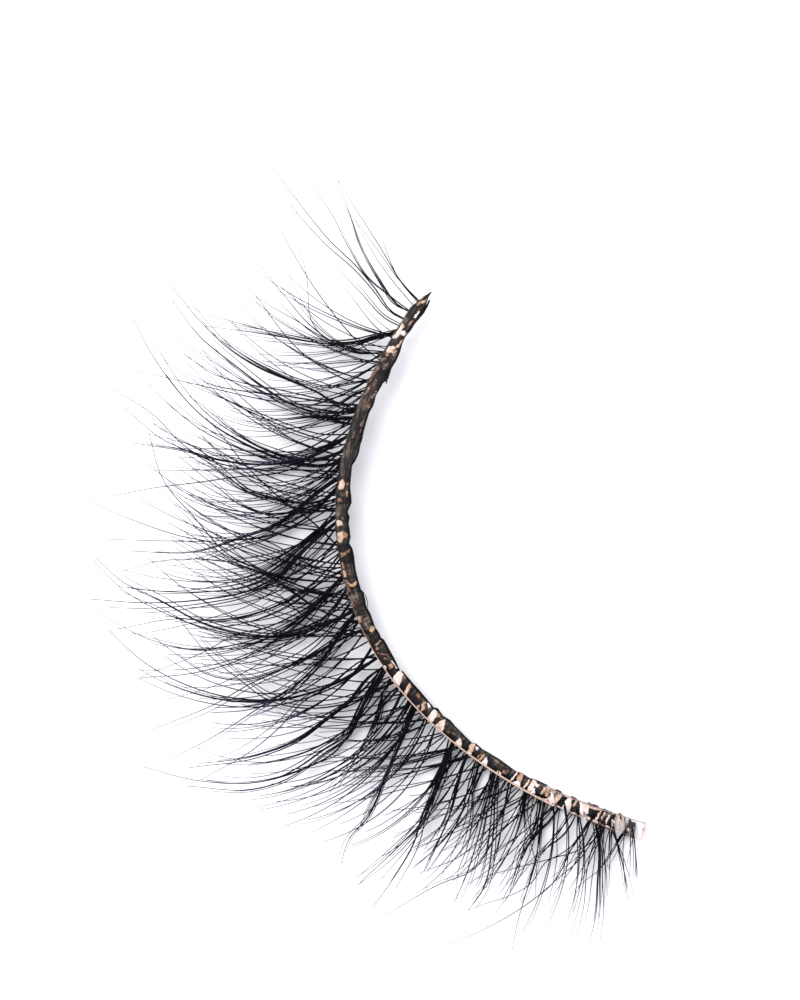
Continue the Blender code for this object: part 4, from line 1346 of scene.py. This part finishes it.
class EYELASH_OT_studio(bpy.types.Operator):
    """Adds the pale floor, the soft light and the camera"""

    bl_idname = "eyelash.studio"
    bl_label = "Studio"

    # Metres: half the floor's width, and the light's width and distance. The light's direction
    # is seen from the strip.
    REACH = 0.6
    KEY_WIDTH = 0.30
    KEY_DISTANCE = 0.30
    KEY_DIRECTION = (0.5704, 0.2418, 0.80)

    def execute(self, context):
        settings = context.scene.eyelash_studio
        scene = context.scene
        mesh = bpy.data.meshes.new("floor")
        signs = ((-1, -1), (1, -1), (1, 1), (-1, 1))
        corners = [(self.REACH * x, self.REACH * y, 0.0) for x, y in signs]
        mesh.from_pydata(corners, [], [(0, 1, 2, 3)])
        mesh.materials.append(floor_material(settings))
        floor = bpy.data.objects.new("floor", mesh)
        scene.collection.objects.link(floor)
        world = bpy.data.worlds.new("soft_fill")
        world.use_nodes = True
        back = world.node_tree.nodes["Background"]
        back.inputs["Color"].default_value = rgba(settings.fill_colour)
        back.inputs["Strength"].default_value = settings.fill
        scene.world = world
        self.add_key(scene, settings)
        self.add_camera(scene)
        scene.view_settings.view_transform = "Standard"
        return {"FINISHED"}

    def add_key(self, scene, settings):
        """The soft light, which comes from the upper left of the photograph."""
        light = bpy.data.lights.new("soft_key", "AREA")
        light.shape = "DISK"
        light.size = self.KEY_WIDTH
        light.energy = settings.key
        light.color = (1.0, 0.995, 0.985)
        key = bpy.data.objects.new("soft_key", light)
        direction = np.array(self.KEY_DIRECTION)
        direction /= np.linalg.norm(direction)
        place = np.array((CAMERA_AIM[0], CAMERA_AIM[1], 0.0)) + direction * self.KEY_DISTANCE
        key.matrix_world = aimed_matrix(place, direction)
        scene.collection.objects.link(key)

    def add_camera(self, scene):
        """The camera straight over the strip, turned as in the photograph."""
        lens = bpy.data.cameras.new("overhead")
        lens.type = "PERSP"
        lens.lens = CAMERA_LENS
        lens.sensor_width = SENSOR
        lens.clip_start = 0.001
        lens.clip_end = 10.0
        camera = bpy.data.objects.new("overhead", lens)
        right = (CAMERA_RIGHT[0], CAMERA_RIGHT[1], 0.0)
        up = (CAMERA_UP[0], CAMERA_UP[1], 0.0)
        place = (CAMERA_AIM[0], CAMERA_AIM[1], CAMERA_HEIGHT)
        camera.matrix_world = axes_matrix(right, up, (0.0, 0.0, 1.0), place)
        scene.collection.objects.link(camera)
        scene.camera = camera


def axes_matrix(right, up, back, place):
    """Matrix of an object whose own axes point these ways."""
    columns = [list(right) + [0], list(up) + [0], list(back) + [0], list(place) + [1]]
    return Matrix(columns).transposed()


def aimed_matrix(place, back):
    """Matrix of a light at a place that shines away from the direction back."""
    back = np.asarray(back) / np.linalg.norm(back)
    right = np.cross((0.0, 0.0, 1.0), back)
    right /= np.linalg.norm(right)
    up = np.cross(back, right)
    return axes_matrix(right.tolist(), up.tolist(), back.tolist(), list(place))


class EYELASH_PT_strip(bpy.types.Panel):
    """Lists the pieces of the eyelash strip"""

    bl_idname = "EYELASH_PT_strip"
    bl_label = "Eyelash strip"
    bl_space_type = "VIEW_3D"
    bl_region_type = "UI"
    bl_category = "Eyelash"

    def draw(self, context):
        scene = context.scene
        for settings in (scene.eyelash_band, scene.eyelash_hair, scene.eyelash_studio):
            box = self.layout.box()
            for label in settings.__annotations__:
                box.prop(settings, label)
        for operator in OPERATORS:
            self.layout.operator(operator.bl_idname)


OPERATORS = (
    EYELASH_OT_clear_band,
    EYELASH_OT_band_edge,
    EYELASH_OT_loose_ends,
    EYELASH_OT_glue_film,
    EYELASH_OT_root_clumps,
    EYELASH_OT_lash_clusters,
    EYELASH_OT_drawn_lashes,
    EYELASH_OT_studio,
)
SETTINGS = (
    ("eyelash_band", EyelashBandSettings),
    ("eyelash_hair", EyelashHairSettings),
    ("eyelash_studio", EyelashStudioSettings),
)


def register():
    for label, group in SETTINGS:
        register_class(group)
        setattr(bpy.types.Scene, label, PointerProperty(type=group))
    for kind in OPERATORS + (EYELASH_PT_strip,):
        register_class(kind)


def unregister():
    for kind in reversed(OPERATORS + (EYELASH_PT_strip,)):
        unregister_class(kind)
    for label, group in reversed(SETTINGS):
        delattr(bpy.types.Scene, label)
        unregister_class(group)


def main():
    register()
    bpy.ops.eyelash.clear_band()
    bpy.ops.eyelash.band_edge()
    bpy.ops.eyelash.loose_ends()
    bpy.ops.eyelash.glue_film()
    bpy.ops.eyelash.root_clumps()
    bpy.ops.eyelash.lash_clusters()
    bpy.ops.eyelash.drawn_lashes()
    bpy.ops.eyelash.studio()


if __name__ == "__main__":
    main()
